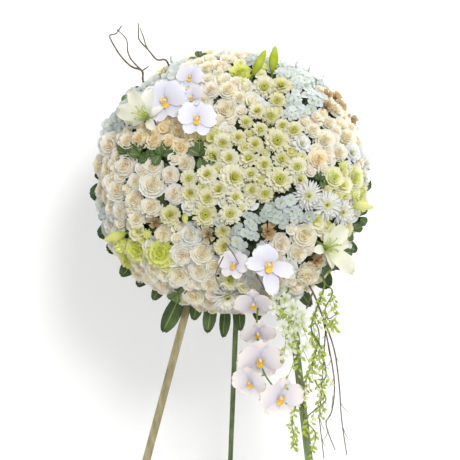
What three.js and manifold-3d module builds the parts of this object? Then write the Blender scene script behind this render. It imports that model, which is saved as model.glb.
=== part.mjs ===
// A funeral wreath: a domed round of mixed flowers on foam and a backing board,
// held by a wooden tripod easel whose rear leg folds. Millimetres, +Z up, the face looks to -Y.

import * as THREE from 'three';
import Module from 'manifold-3d';
import { mergeVertices } from 'three/addons/utils/BufferGeometryUtils.js';

const wasm = await Module();
wasm.setup();

// Driving dimensions
const LEAN = 12;
const CENTRE_HEIGHT = 1050;
const DOME_RADIUS = 340;
const DOME_HEIGHT = 170;
const DOME_POWER = 2.6;
const FOAM_RADIUS = 262;
const FOAM_HEIGHT = 80;
const BOARD_RADIUS = 266;
const BOARD_THICKNESS = 6;
const LATH = 12;
const FRONT_LEG_WIDTH = 19;
const RAIL_WIDTH = 38;
const REAR_LEG_TOP_WIDTH = 16;
const REAR_LEG_FOOT_WIDTH = 12;
const REAR_LEG_ANGLE = 16;
const FRONT_LEG_TOP = 1170;
const HINGE_HEIGHT = 1130;
const HINGE_X = 28;
const REAR_FOOT_X = -14;
const LEFT_FOOT_X = -305;
const LEFT_TOP_X = 2;
const RIGHT_FOOT_X = 228;
const RIGHT_TOP_X = 103;
const LOWER_RAIL_HEIGHT = 850;
const BOLT_RADIUS = 3;
const SCREW_RADIUS = 2.2;
const GAP = 0.3;
// Depth of the grooves between blooms, and half the gap between two bunches
const GROOVE = 16;
const INSET = 0.2;
const CM = 10;

// The places of the flowers are as seen from straight in front, from this eye
const EYE = { x: -5, z: 925, away: 2715 };
const FACE_Y = 110;

// The flower face: u to the right, v up the leaning face, w out of it
const lean = THREE.MathUtils.degToRad(LEAN);
const LEG_BACK = -(BOARD_THICKNESS + LATH + LATH + 2 * GAP);
const LEG_FRONT = LEG_BACK + LATH;
const RAIL_BACK = LEG_FRONT + GAP;
const LEG_MIDDLE = (LEG_BACK + LEG_FRONT) / 2;
const floorRise = (-CENTRE_HEIGHT - LEG_MIDDLE * Math.sin(lean)) / Math.cos(lean);
const CENTRE_Y = LEG_MIDDLE * Math.cos(lean) - floorRise * Math.sin(lean);
const FACE = new THREE.Matrix4().makeBasis(
  new THREE.Vector3(1, 0, 0),
  new THREE.Vector3(0, Math.sin(lean), Math.cos(lean)),
  new THREE.Vector3(0, -Math.cos(lean), Math.sin(lean)),
).setPosition(0, CENTRE_Y, CENTRE_HEIGHT);

function onFace(u, v, w) {
  return new THREE.Vector3(u, v, w).applyMatrix4(FACE);
}

function riseAt(height, w) {
  return (height - CENTRE_HEIGHT - w * Math.sin(lean)) / Math.cos(lean);
}

// The outline of half the dome, from its top to its rim, with the length run so far
const PROFILE = [];
for (let step = 0, length = 0; step <= 240; step += 1) {
  const turn = (step / 240) * (Math.PI / 2);
  const out = Math.sin(turn) ** (2 / DOME_POWER);
  const up = Math.max(Math.cos(turn), 0) ** (2 / DOME_POWER);
  const last = PROFILE[step - 1];
  if (last) length += Math.hypot((out - last.out) * DOME_RADIUS, (up - last.up) * DOME_HEIGHT);
  PROFILE.push({ out, up, length });
}
const ARC = PROFILE[PROFILE.length - 1].length;

function profileAt(key, value) {
  const high = Math.max(1, PROFILE.findIndex((row) => row[key] >= value));
  const low = PROFILE[high - 1];
  const top = PROFILE[high];
  const part = Math.min(Math.max((value - low[key]) / (top[key] - low[key]), 0), 1);
  return {
    out: low.out + (top.out - low.out) * part,
    up: low.up + (top.up - low.up) * part,
    length: low.length + (top.length - low.length) * part,
  };
}

// A point over the dome: p and q are its place on the dome rolled out flat, h its height over it
function overDome(p, q, h) {
  const run = Math.min(Math.hypot(p, q), ARC);
  const row = profileAt('length', run);
  const outer = new THREE.Vector2(row.out * DOME_RADIUS, row.up * DOME_HEIGHT);
  const inner = new THREE.Vector2(row.out * FOAM_RADIUS, row.up * FOAM_HEIGHT);
  const ray = outer.clone().sub(inner).normalize();
  const radial = outer.x + h * ray.x;
  const along = run > 1e-6 ? radial / run : 1;
  return onFace(p * along, q * along, outer.y + h * ray.y + GAP);
}

// A point on the foam under the same place, or a little inside it
function onFoam(p, q, inside = 0) {
  const run = Math.min(Math.hypot(p, q), ARC);
  const row = profileAt('length', run);
  const radial = row.out * (FOAM_RADIUS - inside);
  const along = run > 1e-6 ? radial / run : 0;
  return onFace(p * along, q * along, row.up * (FOAM_HEIGHT - inside) + GAP);
}

// Where the sight line through the seen place (x, z) is at the depth y
function sightAt(x, z, y) {
  const reach = (y - FACE_Y + EYE.away) / EYE.away;
  const seenZ = CENTRE_HEIGHT + z - EYE.z;
  return new THREE.Vector3(EYE.x + (x - EYE.x) * reach, y, EYE.z + seenZ * reach);
}

// Where the sight line through the seen place (x, z) meets the dome, rolled out flat
function seenOnDome(x, z) {
  let w = DOME_HEIGHT / 2;
  let y = FACE_Y;
  let u = x;
  let v = z;
  for (let pass = 0; pass < 40; pass += 1) {
    const at = sightAt(x, z, y);
    u = at.x;
    v = riseAt(at.z, w);
    const out = Math.min(Math.hypot(u, v) / DOME_RADIUS, 0.985);
    w = 0.7 * w + 0.3 * DOME_HEIGHT * (1 - out ** DOME_POWER) ** (1 / DOME_POWER);
    y = 0.5 * y + 0.5 * onFace(u, v, w).y;
  }
  const out = Math.min(Math.hypot(u, v) / DOME_RADIUS, 0.985);
  const run = profileAt('out', out).length;
  const size = Math.hypot(u, v) || 1;
  return { p: (u / size) * run, q: (v / size) * run };
}

// Bunches of the dome: each bloom has its kind, its seen place and its radius, in centimetres
const BUNCHES = {
  roses_left: { colour: 0xece4cb, blooms: [
    ['rose', -30.6, 8.9, 3.0], ['rose', -26.2, 9.9, 2.0], ['rose', -31.8, 1.9, 2.3],
    ['rose', -26.8, 3.8, 2.4], ['rose', -28.9, -2, 2.3], ['rose', -32, -4.2, 2.0],
    ['rose', -24.6, -4.6, 2.1], ['rose', -28.2, -7.4, 2.3], ['rose', -23.8, -9.6, 2.0],
    ['rose', -24.2, -0.4, 1.6], ['leaf', -23.3, 6.6, 1.6],
    ['rose', -19.8, 3.6, 2.0], ['rose', -19.8, -1, 2.9], ['rose', -20, -6, 2.3],
    ['rose', -15.6, 1.2, 1.9], ['rose', -14.6, -3.5, 2.2], ['rose', -11.9, 4.3, 2.0],
    ['mum', -15.4, -8.1, 2.3], ['leaf', -18.8, 6.4, 1.5]] },
  roses_bottom: { colour: 0xe9e4d4, blooms: [
    ['rose', -17.1, -13.6, 2.1], ['rose', -10.5, -13.8, 2.8], ['rose', -12.3, -19, 2.5],
    ['rose', -7.4, -18.3, 2.2], ['rose', -4.5, -21.8, 2.1], ['bud', -11.6, -9.4, 1.3],
    ['rose', -8.9, -23.2, 2.3], ['rose', -13.3, -24, 2.4], ['rose', -17.6, -26.6, 2.7],
    ['rose', -9.8, -29.4, 2.6], ['rose', -5.5, -26.4, 2.2], ['rose', -19.7, -22.3, 1.7],
    ['rose', -23, -22.6, 1.6], ['leaf', -13.6, -28.6, 2.0]] },
  roses_top: { colour: 0xefe6c8, blooms: [
    ['rose', -6.2, 28.2, 1.9], ['rose', -2.5, 29, 2.3], ['rose', 1.6, 31.4, 1.7],
    ['rose', -5.3, 22.8, 2.1], ['rose', -1, 22.9, 2.2], ['rose', -1.6, 18.1, 2.9],
    ['rose', 2, 20.9, 1.4], ['leaf', -8.3, 30.8, 1.5]] },
  roses_right: { colour: 0xe9dcc4, blooms: [
    ['rose', 28.9, 11, 2.4], ['rose', 27, 7, 1.9], ['rose', 23.3, 10, 2.1],
    ['rose', 20.4, 12.8, 1.8], ['rose', 24.5, 14.6, 1.9], ['rose', 21.6, 5.4, 2.1],
    ['floret', 31.8, 7, 1.6]] },
  roses_lower_right: { colour: 0xebe3cf, blooms: [
    ['rose', 18.3, -13.8, 2.6], ['rose', 12.6, -16.2, 2.4], ['rose', 17.1, -18.9, 2.3]] },
  lime_roses_right: { colour: 0xc9d490, blooms: [
    ['rose', 25.6, 0.7, 2.4], ['rose', 30.9, 0.6, 2.8], ['button', 27.6, 3.7, 1.3],
    ['button', 30.4, -3.6, 1.6], ['leaf', 22.1, 0.2, 1.5]] },
  lime_mums_left: { colour: 0xd6dca0, blooms: [
    ['ruffle', -24.1, -17.4, 3.1], ['ruffle', -17.6, -18, 3.0], ['button', -21.3, -13.4, 1.4]] },
  peach_carnations: { colour: 0xe3ab84, blooms: [
    ['ruffle', -23, 10.2, 2.2], ['ruffle', -19.5, 10, 2.2], ['ruffle', -16, 9.4, 2.2],
    ['ruffle', -12.9, 8.4, 2.2], ['ruffle', -13.6, 12.2, 2.0], ['ruffle', -13, 15.4, 1.6]] },
  mums_centre: { colour: 0xeeeedd, blooms: [
    ['mum', 0.7, 0.7, 3.0], ['mum', -3.4, -2.2, 1.9], ['mum', 1, -4.2, 1.9],
    ['mum', -6.2, -4.6, 2.1], ['mum', -6.6, 1.8, 2.3], ['mum', -0.8, 5.6, 2.2],
    ['mum', -4.8, 6.2, 1.9], ['mum', -2.4, 9.2, 2.0], ['mum', -10.6, -3.3, 2.0],
    ['mum', -0.5, -8.3, 2.1], ['mum', -6.6, -8.7, 2.4], ['mum', -10.8, 0.4, 1.7],
    ['leaf', -8.2, 6.3, 1.9]] },
  mums_right: { colour: 0xe8ebd2, blooms: [
    ['mum', 11.9, 0.2, 3.0], ['mum', 16.2, 3.3, 2.1], ['mum', 8.1, 3.8, 1.9],
    ['mum', 8.2, -3.5, 1.9], ['mum', 12.6, 5.4, 1.8], ['mum', 17.2, 0.2, 1.6],
    ['mum', 4.6, 1.6, 1.7], ['mum', 4.8, -2.6, 1.6], ['spider', 19.2, -4, 3.2],
    ['spider', 23.4, -6.2, 2.8], ['spider', 27.4, -8, 2.7]] },
  mums_upper_right: { colour: 0xe6e8c6, blooms: [
    ['mum', 11.2, 9.7, 2.9], ['mum', 15.2, 12.4, 2.1], ['mum', 9.8, 16, 1.9],
    ['mum', 6.2, 17.2, 1.8], ['mum', 3.6, 14.6, 1.7], ['mum', 5.8, 9, 1.9],
    ['mum', 1.6, 10.6, 1.7], ['mum', 12.4, 13.6, 1.5], ['mum', 7.2, 12.7, 1.7],
    ['mum', 11.2, 19.8, 1.8], ['mum', 8.1, 23.6, 2.5], ['mum', 12.1, 23.6, 2.2],
    ['rose', 2.3, 27.4, 2.3], ['button', 7.6, 28, 1.5]] },
  mums_bottom: { colour: 0xf0efe6, blooms: [
    ['mum', -0.7, -24.8, 2.2], ['spider', -1, -29.5, 3.1]] },
  hydrangea_top: { colour: 0xe3e9f2, blooms: [
    ['floret', 13, 28.6, 1.6], ['floret', 12.6, 26.4, 1.2], ['floret', 17, 27.2, 1.7],
    ['floret', 20, 28, 1.5], ['floret', 20.8, 25, 1.6], ['floret', 16.2, 23.8, 1.6],
    ['floret', 23.4, 25.4, 1.5], ['floret', 20.2, 20.6, 1.9], ['floret', 15.6, 20.2, 1.8],
    ['floret', 17.4, 17.2, 1.6], ['floret', 14.4, 16.6, 1.5]] },
  hydrangea_lower: { colour: 0xdfe7ef, blooms: [
    ['floret', 5, -9.8, 1.7], ['floret', 8.8, -8.4, 1.6], ['floret', 12.6, -9.8, 1.7],
    ['floret', 4.6, -13, 1.7], ['floret', 1.4, -13, 1.6], ['floret', 1.6, -17.6, 1.9],
    ['mum', -2, -16.8, 2.0], ['mum', -2.4, -12.9, 1.6], ['floret', 16.4, -8.8, 1.6]] },
  white_stock_left: { colour: 0xedf0f2, blooms: [
    ['ruffle', -30.4, -12, 2.2], ['floret', -32.4, -8.6, 1.5]] },
  florets_upper_left: { colour: 0xe7ebe6, blooms: [
    ['floret', -28.2, 14, 1.8], ['leaf', -27, 18.2, 1.9], ['leaf', -24.2, 24, 1.6],
    ['floret', -22.6, 20.6, 1.7], ['mum', -17.4, 27, 1.8], ['rose', -20.6, 26.2, 1.7]] },
  dried_right_top: { colour: 0xa4885f, blooms: [
    ['ruffle', 24, 21.2, 1.9], ['ruffle', 27, 18.2, 2.1]] },
  dried_lower_right: { colour: 0xb39468, blooms: [
    ['ruffle', 21.2, -20.2, 1.9], ['ruffle', 18.6, -23.9, 3.2]] },
  dried_left: { colour: 0x9c8360, blooms: [['ruffle', -19.6, -10.8, 1.8]] },
  dried_lower: { colour: 0xa58a60, blooms: [['ruffle', -5.9, -13.6, 2.0]] },
  dried_centre: { colour: 0xab9068, blooms: [['ruffle', 8.9, -12.8, 2.2]] },
  leaves_right: { colour: 0x55723f, blooms: [
    ['leaf', 30.4, -12.6, 2.2], ['leaf', 26.4, -13.8, 1.6], ['leaf', 27.6, -18.6, 2.2]] },
};

// Flowers that stand out of the dome on their own stem: seen place, radius, lift, and turns
const ORCHIDS = [
  { name: 'orchid_left', at: [-16.6, 19.6], radius: 4.6, lift: 3.0, roll: 14, yaw: -42 },
  { name: 'orchid_top', at: [-10.4, 25.6], radius: 3.6, lift: 2.0, roll: -8, yaw: -10 },
  { name: 'orchid_upper', at: [-8.8, 14.8], radius: 4.5, lift: 3.2, roll: -6, yaw: 8 },
  { name: 'orchid_lower', at: [8.8, -21.6], radius: 4.8, lift: 3.4, roll: 10, yaw: 6 },
  { name: 'orchid_bottom', at: [2.6, -21.4], radius: 3.6, lift: 1.4, roll: -12, yaw: -6 },
];

// Lilies: the seen place of the throat and the seen tips of the six tepals from it
const LILIES = [
  { name: 'lily_left', at: [-20, 14.2], lift: 3.0, yaw: -24,
    tips: [[4.6, 2.6], [0.6, 8.0], [-5.4, 7.9], [-8.9, 2.3], [-4.0, -1.8], [2.6, -3.4]] },
  { name: 'lily_right', at: [21.9, -15.9], lift: 3.0, yaw: 24,
    tips: [[7.0, 1.2], [6.4, 5.9], [0.6, 4.4], [-3.6, -0.6], [1.2, -5.4], [7.0, -6.8]] },
];

// Lily buds: the seen place of the foot and of the tip, the radius and how far the tip stands out
const BUDS = [
  { name: 'lily_bud_top_left', from: [4.8, 26], to: [8.5, 32.6], radius: 1.15, out: 3.4 },
  { name: 'lily_bud_top_right', from: [10.2, 26.8], to: [10.8, 33.6], radius: 1.25, out: 3.4 },
  { name: 'lily_bud_left', from: [-26.6, -13.4], to: [-32, -15], radius: 1.6, out: 3.8 },
  { name: 'lily_bud_right', from: [29.6, -6.4], to: [35.4, -6.9], radius: 1.1, out: 2.4 },
];

// Branches and hanging sprays. Each strand has its seen points in centimetres, its two radii in
// millimetres, and how far in front of its root it ends, in millimetres. A spray may hang ahead.
const SPRAYS = [
  { name: 'willow_twigs_left', colour: 0x5e4430, root: [-22.2, 23.6], strands: [
    { points: [[-22.2, 24.6], [-22.5, 27.3], [-25.2, 28.4], [-27.8, 31], [-29.3, 33.3], [-30.6, 36],
      [-29, 36.6], [-27.6, 38.6]], radii: [3, 1.4], out: 20 },
    { points: [[-22.6, 27.4], [-25.1, 30], [-26.1, 32.3], [-26.4, 35.2], [-28.8, 37.6]],
      radii: [2.2, 1.2], out: 44 },
    { points: [[-22.5, 27.2], [-20.8, 28.4]], radii: [2, 1.2], out: 10 }] },
  { name: 'willow_twigs_right', colour: 0x6a4c35, root: [-15.6, 28], strands: [
    { points: [[-15.7, 28.6], [-16.8, 30.1], [-18.8, 30.1], [-21, 32.6], [-23.1, 34.9], [-23.4, 36.8],
      [-23.3, 39.2]], radii: [2.8, 1.3], out: 24 },
    { points: [[-21.5, 33.6], [-22.1, 35.6], [-23, 37.9]], radii: [1.8, 1.2], out: 46 }] },
  { name: 'trailing_twigs', colour: 0x7a6a45, root: [20.4, -27.6], strands: [
    { points: [[20.2, -28], [22.6, -34], [25.5, -42.2], [26.8, -51.2], [27.4, -59.8], [28.7, -68.8]],
      radii: [2.6, 1.2], out: 6 },
    { points: [[22.8, -34.6], [25.5, -49.2], [25, -57.6], [23.5, -61.1], [25.8, -67.5]],
      radii: [1.8, 1.1], out: 26 },
    { points: [[20.2, -28], [16, -40], [16.6, -47.5], [17.6, -55.4], [19, -62.8]],
      radii: [2.2, 1.1], out: 12 },
    { points: [[23.4, -36.6], [22, -57.6], [22, -61.1], [23, -69.6]], radii: [1.8, 1.1], out: -14 }] },
  { name: 'lime_spray', colour: 0xa9bb5e, root: [23.4, -25.4], ahead: 14, bead: 0.85, strands: [
    { points: [[23.2, -26], [19.8, -36.5], [22.2, -41.8], [23.5, -49.2], [20.8, -50.2], [23.5, -54.5],
      [21.6, -56.8], [18.5, -59.8], [20.8, -63], [20.8, -65.5]], radii: [2.2, 1.3], out: 40, beads: 8 },
    { points: [[21, -36], [21.8, -39.8], [19.6, -47], [15.6, -57.6], [15, -61.5], [15.6, -64.6]],
      radii: [1.8, 1.2], out: 16, beads: 5 },
    { points: [[23.2, -26], [25.2, -28], [23.3, -32.1], [23.9, -34.7], [26.2, -33.5]],
      radii: [1.8, 1.2], out: 52, beads: 3 }] },
  { name: 'dendrobium_spray', colour: 0xf1f1ee, root: [14.2, -27], floret: 1.7, strands: [
    { points: [[14.2, -27.4], [12, -29.6], [12.4, -32.2], [15.6, -31.4], [17, -34], [13.4, -36.2],
      [16.4, -38], [17, -41.5]], radii: [2, 1.3], out: 60, florets: 7 }] },
];

// The orchids that hang under the wreath on one stem: seen place, radius, and turns
const CASCADE = {
  name: 'orchid_cascade', colour: 0xe7e2ea, root: [6.6, -29.4],
  stem: [[6.6, -30], [6.2, -36], [6.8, -43], [8.2, -48.6], [11.8, -53.4], [13.6, -56]],
  blooms: [
    { at: [5.4, -30.6], radius: 4.3, nod: 42, yaw: -6 },
    { at: [6.4, -38.2], radius: 3.9, nod: 50, yaw: 8 },
    { at: [7.0, -45.2], radius: 5.0, nod: 26, yaw: 4 },
    { at: [4.4, -51.0], radius: 3.4, nod: 20, yaw: -30 },
    { at: [12.2, -54.2], radius: 4.9, nod: 24, yaw: 16 }],
};

// Leaves of the collar round the rim: seen angle in degrees, reach past the rim and half width
const COLLAR = {
  collar_left: { from: 128, to: 214, leaves: [
    [131, 14, 15], [140, 18, 16], [149, 10, 15], [158, 16, 15], [168, 14, 15], [178, 18, 16],
    [186, 26, 17], [194, 18, 15], [203, 30, 17], [211, 22, 16]] },
  collar_bottom: { from: 218, to: 306, leaves: [
    [220, 34, 16], [228, 26, 16], [236, 40, 15], [245, 88, 17], [254, 34, 15], [261, 60, 16],
    [267, 66, 14], [273, 50, 15], [282, 30, 15], [291, 38, 14], [300, 44, 15]] },
  collar_right: { from: 310, to: 396, leaves: [
    [313, 30, 15], [322, 22, 15], [330, 30, 16], [339, 16, 15], [349, 14, 15], [358, 20, 15],
    [366, 24, 16], [375, 14, 15], [384, 16, 15], [393, 20, 15]] },
  collar_top: { from: 40, to: 124, leaves: [
    [43, 22, 15], [52, 16, 15], [61, 18, 15], [70, 20, 14], [79, 12, 14], [88, 14, 14],
    [97, 12, 14], [106, 16, 14], [114, 14, 14], [121, 16, 15]] },
};

// Sites of the dome: every bloom, every stem of what stands out, and small blooms that fill
const sites = [];

function addSite(kind, bunch, x, z, radius) {
  const { p, q } = seenOnDome(x * CM, z * CM);
  sites.push({ kind, bunch, p, q, radius: radius * CM });
}

for (const [bunch, { blooms }] of Object.entries(BUNCHES)) {
  for (const [kind, x, z, radius] of blooms) addSite(kind, bunch, x, z, radius);
}
for (const orchid of ORCHIDS) addSite('stem', orchid.name, ...orchid.at, 1.5);
for (const lily of LILIES) addSite('stem', lily.name, ...lily.at, 1.6);
for (const bud of BUDS) addSite('stem', bud.name, ...bud.from, bud.radius);
for (const spray of SPRAYS) addSite('stem', spray.name, ...spray.root, 1.3);
addSite('stem', CASCADE.name, ...CASCADE.root, 1.3);

// Small blooms fill the bare places: points of a sunflower spiral that are clear of the rest
const FILL_RADIUS = 23;
const FILL_POINTS = 900;
const GOLDEN = Math.PI * (3 - Math.sqrt(5));
for (let n = 0; n < FILL_POINTS; n += 1) {
  const run = (ARC - FILL_RADIUS * 0.8) * Math.sqrt((n + 0.5) / FILL_POINTS);
  const p = run * Math.cos(n * GOLDEN);
  const q = run * Math.sin(n * GOLDEN);
  const clear = sites.every((site) => (
    Math.hypot(site.p - p, site.q - q) > 0.92 * (site.radius + FILL_RADIUS)));
  if (clear) sites.push({ kind: 'fill', bunch: null, p, q, radius: FILL_RADIUS });
}

// Each site's cell: the part of the rolled-out dome that lies nearer to its bloom than to another
const RIM_SIDES = 26;

function cellOf(site) {
  let corners = [];
  for (let n = 0; n < RIM_SIDES; n += 1) {
    const turn = (n / RIM_SIDES) * 2 * Math.PI;
    corners.push([ARC * Math.cos(turn), ARC * Math.sin(turn)]);
  }
  for (const other of sites) {
    if (other === site) continue;
    const a = 2 * (other.p - site.p);
    const b = 2 * (other.q - site.q);
    const limit = other.p ** 2 + other.q ** 2 - other.radius ** 2
      - site.p ** 2 - site.q ** 2 + site.radius ** 2;
    const kept = [];
    corners.forEach((corner, n) => {
      const next = corners[(n + 1) % corners.length];
      const here = limit - a * corner[0] - b * corner[1];
      const there = limit - a * next[0] - b * next[1];
      if (here >= 0) kept.push(corner);
      if ((here >= 0) !== (there >= 0)) {
        const part = here / (here - there);
        kept.push([corner[0] + (next[0] - corner[0]) * part, corner[1] + (next[1] - corner[1]) * part]);
      }
    });
    corners = kept;
  }
  return corners;
}

// Corners nearer than this are one corner, so that no cell has a side too short to build
const CORNER_MERGE = 2.5;
const corners = [];

function cornerId(point) {
  const found = corners.findIndex((c) => Math.hypot(c[0] - point[0], c[1] - point[1]) < CORNER_MERGE);
  if (found >= 0) return found;
  corners.push(point);
  return corners.length - 1;
}

for (const site of sites) {
  const ids = cellOf(site).map(cornerId);
  site.ring = ids.filter((id, n) => id !== ids[(n + 1) % ids.length]);
}
const cells = sites.filter((site) => site.ring.length >= 3);

// The cell across each side
const across = new Map();
for (const cell of cells) {
  cell.ring.forEach((id, n) => across.set(`${id}>${cell.ring[(n + 1) % cell.ring.length]}`, cell));
}

function neighbour(cell, n) {
  const id = cell.ring[n];
  return across.get(`${cell.ring[(n + 1) % cell.ring.length]}>${id}`);
}

// A small bloom joins the bunch that it shares its longest side with
const joinable = new Set(Object.keys(BUNCHES));
for (let left = cells.filter((cell) => !cell.bunch); left.length;) {
  for (const cell of left) {
    const shared = new Map();
    cell.ring.forEach((id, n) => {
      const other = neighbour(cell, n);
      if (!other || !joinable.has(other.bunch)) return;
      const end = corners[cell.ring[(n + 1) % cell.ring.length]];
      const side = Math.hypot(end[0] - corners[id][0], end[1] - corners[id][1]);
      shared.set(other.bunch, (shared.get(other.bunch) || 0) + side);
    });
    const best = [...shared.entries()].sort((a, b) => b[1] - a[1])[0];
    if (best) [cell.next] = best;
  }
  for (const cell of left) cell.bunch = cell.next || null;
  left = left.filter((cell) => !cell.bunch);
}

// Each bunch keeps clear of the next: its corners are drawn in a little, away from its own rim
function drawnIn(cell, n) {
  const id = cell.ring[n];
  let first = cell;
  let at = n;
  const here = corners[id];
  for (let pass = 0; pass < 12; pass += 1) {
    const other = neighbour(first, at);
    if (!other || other.bunch !== cell.bunch) break;
    first = other;
    at = other.ring.indexOf(id);
    if (first === cell) return here;
  }
  let last = cell;
  let before = (n + cell.ring.length - 1) % cell.ring.length;
  for (let pass = 0; pass < 12; pass += 1) {
    const other = neighbour(last, before);
    if (!other || other.bunch !== cell.bunch) break;
    last = other;
    before = (other.ring.indexOf(id) + other.ring.length - 1) % other.ring.length;
  }
  const next = corners[first.ring[(at + 1) % first.ring.length]];
  const back = corners[last.ring[before]];
  const start = Math.atan2(next[1] - here[1], next[0] - here[0]);
  const end = Math.atan2(back[1] - here[1], back[0] - here[0]);
  const wide = ((end - start) % (2 * Math.PI) + 2 * Math.PI) % (2 * Math.PI);
  const move = Math.min(INSET / Math.max(Math.sin(wide / 2), 0.01), 2 * INSET);
  const way = start + wide / 2;
  return [here[0] + move * Math.cos(way), here[1] + move * Math.sin(way)];
}

// Triangles are gathered here and made one closed mesh
class Faces {
  constructor() {
    this.points = [];
  }

  add(a, b, c) {
    for (const corner of [a, b, c]) this.points.push(corner.x, corner.y, corner.z);
  }

  // A band between two rings that run the same way round, the outer one first
  band(outer, inner) {
    if (inner.length === 1) {
      outer.forEach((row, n) => this.add(row.at, outer[(n + 1) % outer.length].at, inner[0].at));
      return;
    }
    const full = 2 * Math.PI;
    const base = outer[0].turn;
    const gap = (turn) => ((turn - base + Math.PI) % full + full) % full - Math.PI;
    let start = 0;
    inner.forEach((row, n) => {
      if (Math.abs(gap(row.turn)) < Math.abs(gap(inner[start].turn))) start = n;
    });
    const outerAt = (n) => outer[n % outer.length];
    const innerAt = (n) => inner[(start + n) % inner.length];
    const ahead = (turn, from) => ((turn - from) % full + full) % full;
    let outerTurn = 0;
    let innerTurn = gap(inner[start].turn);
    let i = 0;
    let j = 0;
    while (i < outer.length || j < inner.length) {
      const outerNext = outerTurn + ahead(outerAt(i + 1).turn, outerAt(i).turn);
      const innerNext = innerTurn + ahead(innerAt(j + 1).turn, innerAt(j).turn);
      if (j >= inner.length || (i < outer.length && outerNext <= innerNext)) {
        this.add(outerAt(i).at, outerAt(i + 1).at, innerAt(j).at);
        outerTurn = outerNext;
        i += 1;
      } else {
        this.add(outerAt(i).at, innerAt(j + 1).at, innerAt(j).at);
        innerTurn = innerNext;
        j += 1;
      }
    }
  }

  geometry() {
    const geometry = new THREE.BufferGeometry();
    geometry.setAttribute('position', new THREE.Float32BufferAttribute(this.points, 3));
    return mergeVertices(geometry, 1e-4);
  }
}

// Relief of each kind of bloom, from its rim to its middle. A ring has its number of points, and
// by turns their share of the radius and their height over the dome.
const RELIEF = {
  rose: [[10, [1, 0.84], [-4, -8]], [5, [0.68], [-5]], [5, [0.55], [3.5]], [3, [0.28], [-1]],
    [1, [0], [3]]],
  mum: [[12, [1, 0.58], [-1, -7]], [5, [0.3], [0]], [1, [0], [4]]],
  spider: [[16, [1, 0.45], [1, -7]], [5, [0.3], [0]], [1, [0], [4]]],
  ruffle: [[12, [1, 0.84], [-4, -9]], [6, [0.66], [-1]], [6, [0.52, 0.4], [4, -1]], [1, [0], [4]]],
  floret: [[8, [1, 0.45], [0, -6]], [1, [0], [-1]]],
  button: [[7, [0.95], [-8]], [7, [0.7], [1]], [1, [0], [4]]],
  bud: [[6, [0.9], [-8]], [6, [0.7], [2]], [1, [0], [10]]],
  leaf: [[6, [1, 0.42], [2, -11]], [3, [0.2], [-9]], [1, [0], [-6]]],
  fill: [[8, [1, 0.5], [-1, -8]], [1, [0], [3]]],
  stem: [[5, [0.8], [-12]], [1, [0], [-8]]],
};
const RIM_MARGIN = 1.3;

// How far a ray from the middle of a cell may run before it leaves the cell
function reachIn(cell, turn) {
  let reach = Infinity;
  cell.ring.forEach((id, n) => {
    const a = corners[id];
    const b = corners[cell.ring[(n + 1) % cell.ring.length]];
    const length = Math.hypot(b[0] - a[0], b[1] - a[1]);
    const normal = [(b[1] - a[1]) / length, -(b[0] - a[0]) / length];
    const away = (a[0] - cell.middle[0]) * normal[0] + (a[1] - cell.middle[1]) * normal[1];
    const speed = Math.cos(turn) * normal[0] + Math.sin(turn) * normal[1];
    if (speed > 1e-6) reach = Math.min(reach, (away - RIM_MARGIN) / speed);
  });
  return Math.max(reach, 0.5);
}

function isInside(cell, point) {
  return cell.ring.every((id, n) => {
    const a = corners[id];
    const b = corners[cell.ring[(n + 1) % cell.ring.length]];
    const cross = (b[0] - a[0]) * (point[1] - a[1]) - (b[1] - a[1]) * (point[0] - a[0]);
    return cross > 5 * Math.hypot(b[0] - a[0], b[1] - a[1]);
  });
}

function setMiddle(cell) {
  const sum = cell.ring.reduce((s, id) => [s[0] + corners[id][0], s[1] + corners[id][1]], [0, 0]);
  const centroid = sum.map((value) => value / cell.ring.length);
  cell.middle = isInside(cell, [cell.p, cell.q]) ? [cell.p, cell.q] : centroid;
}

// One bloom with its core: the relief over its cell, the foot on the foam, and walls where the
// next cell belongs to another bunch
function addBloom(faces, cell, phase) {
  setMiddle(cell);
  const rim = cell.ring.map((id, n) => {
    const [p, q] = drawnIn(cell, n);
    const turn = Math.atan2(q - cell.middle[1], p - cell.middle[0]);
    return { id, turn, at: overDome(p, q, -GROOVE), foot: onFoam(p, q) };
  });
  let outer = rim;
  for (const [count, shares, heights] of RELIEF[cell.kind]) {
    const ring = [];
    for (let n = 0; n < count; n += 1) {
      const turn = phase + ((n + (shares.length === 1 ? 0.5 : 0)) / count) * 2 * Math.PI;
      const share = shares[n % shares.length];
      const reach = Math.min(cell.radius, reachIn(cell, turn)) * share;
      const p = cell.middle[0] + reach * Math.cos(turn);
      const q = cell.middle[1] + reach * Math.sin(turn);
      ring.push({ turn, at: overDome(p, q, heights[n % heights.length]) });
    }
    faces.band(outer, ring);
    outer = ring;
  }
  for (let n = 1; n < rim.length - 1; n += 1) {
    faces.add(rim[0].foot, rim[n + 1].foot, rim[n].foot);
  }
  rim.forEach((row, n) => {
    const next = rim[(n + 1) % rim.length];
    const other = neighbour(cell, n);
    if (other && other.bunch === cell.bunch) return;
    if (row.id < next.id) {
      faces.add(row.foot, next.foot, next.at);
      faces.add(row.foot, next.at, row.at);
    } else {
      faces.add(row.foot, next.foot, row.at);
      faces.add(next.foot, next.at, row.at);
    }
  });
}

function bunchFaces(bunch) {
  const faces = new Faces();
  cells.forEach((cell, n) => {
    if (cell.bunch === bunch) addBloom(faces, cell, n * GOLDEN);
  });
  return faces;
}

// The group and its nodes
const wreath = new THREE.Group();

function addNode(name, geometry, color, roughness = 0.8, metalness = 0) {
  const material = new THREE.MeshStandardMaterial({ color, roughness, metalness, flatShading: true });
  const mesh = new THREE.Mesh(geometry, material);
  mesh.name = name;
  wreath.add(mesh);
}

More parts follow.
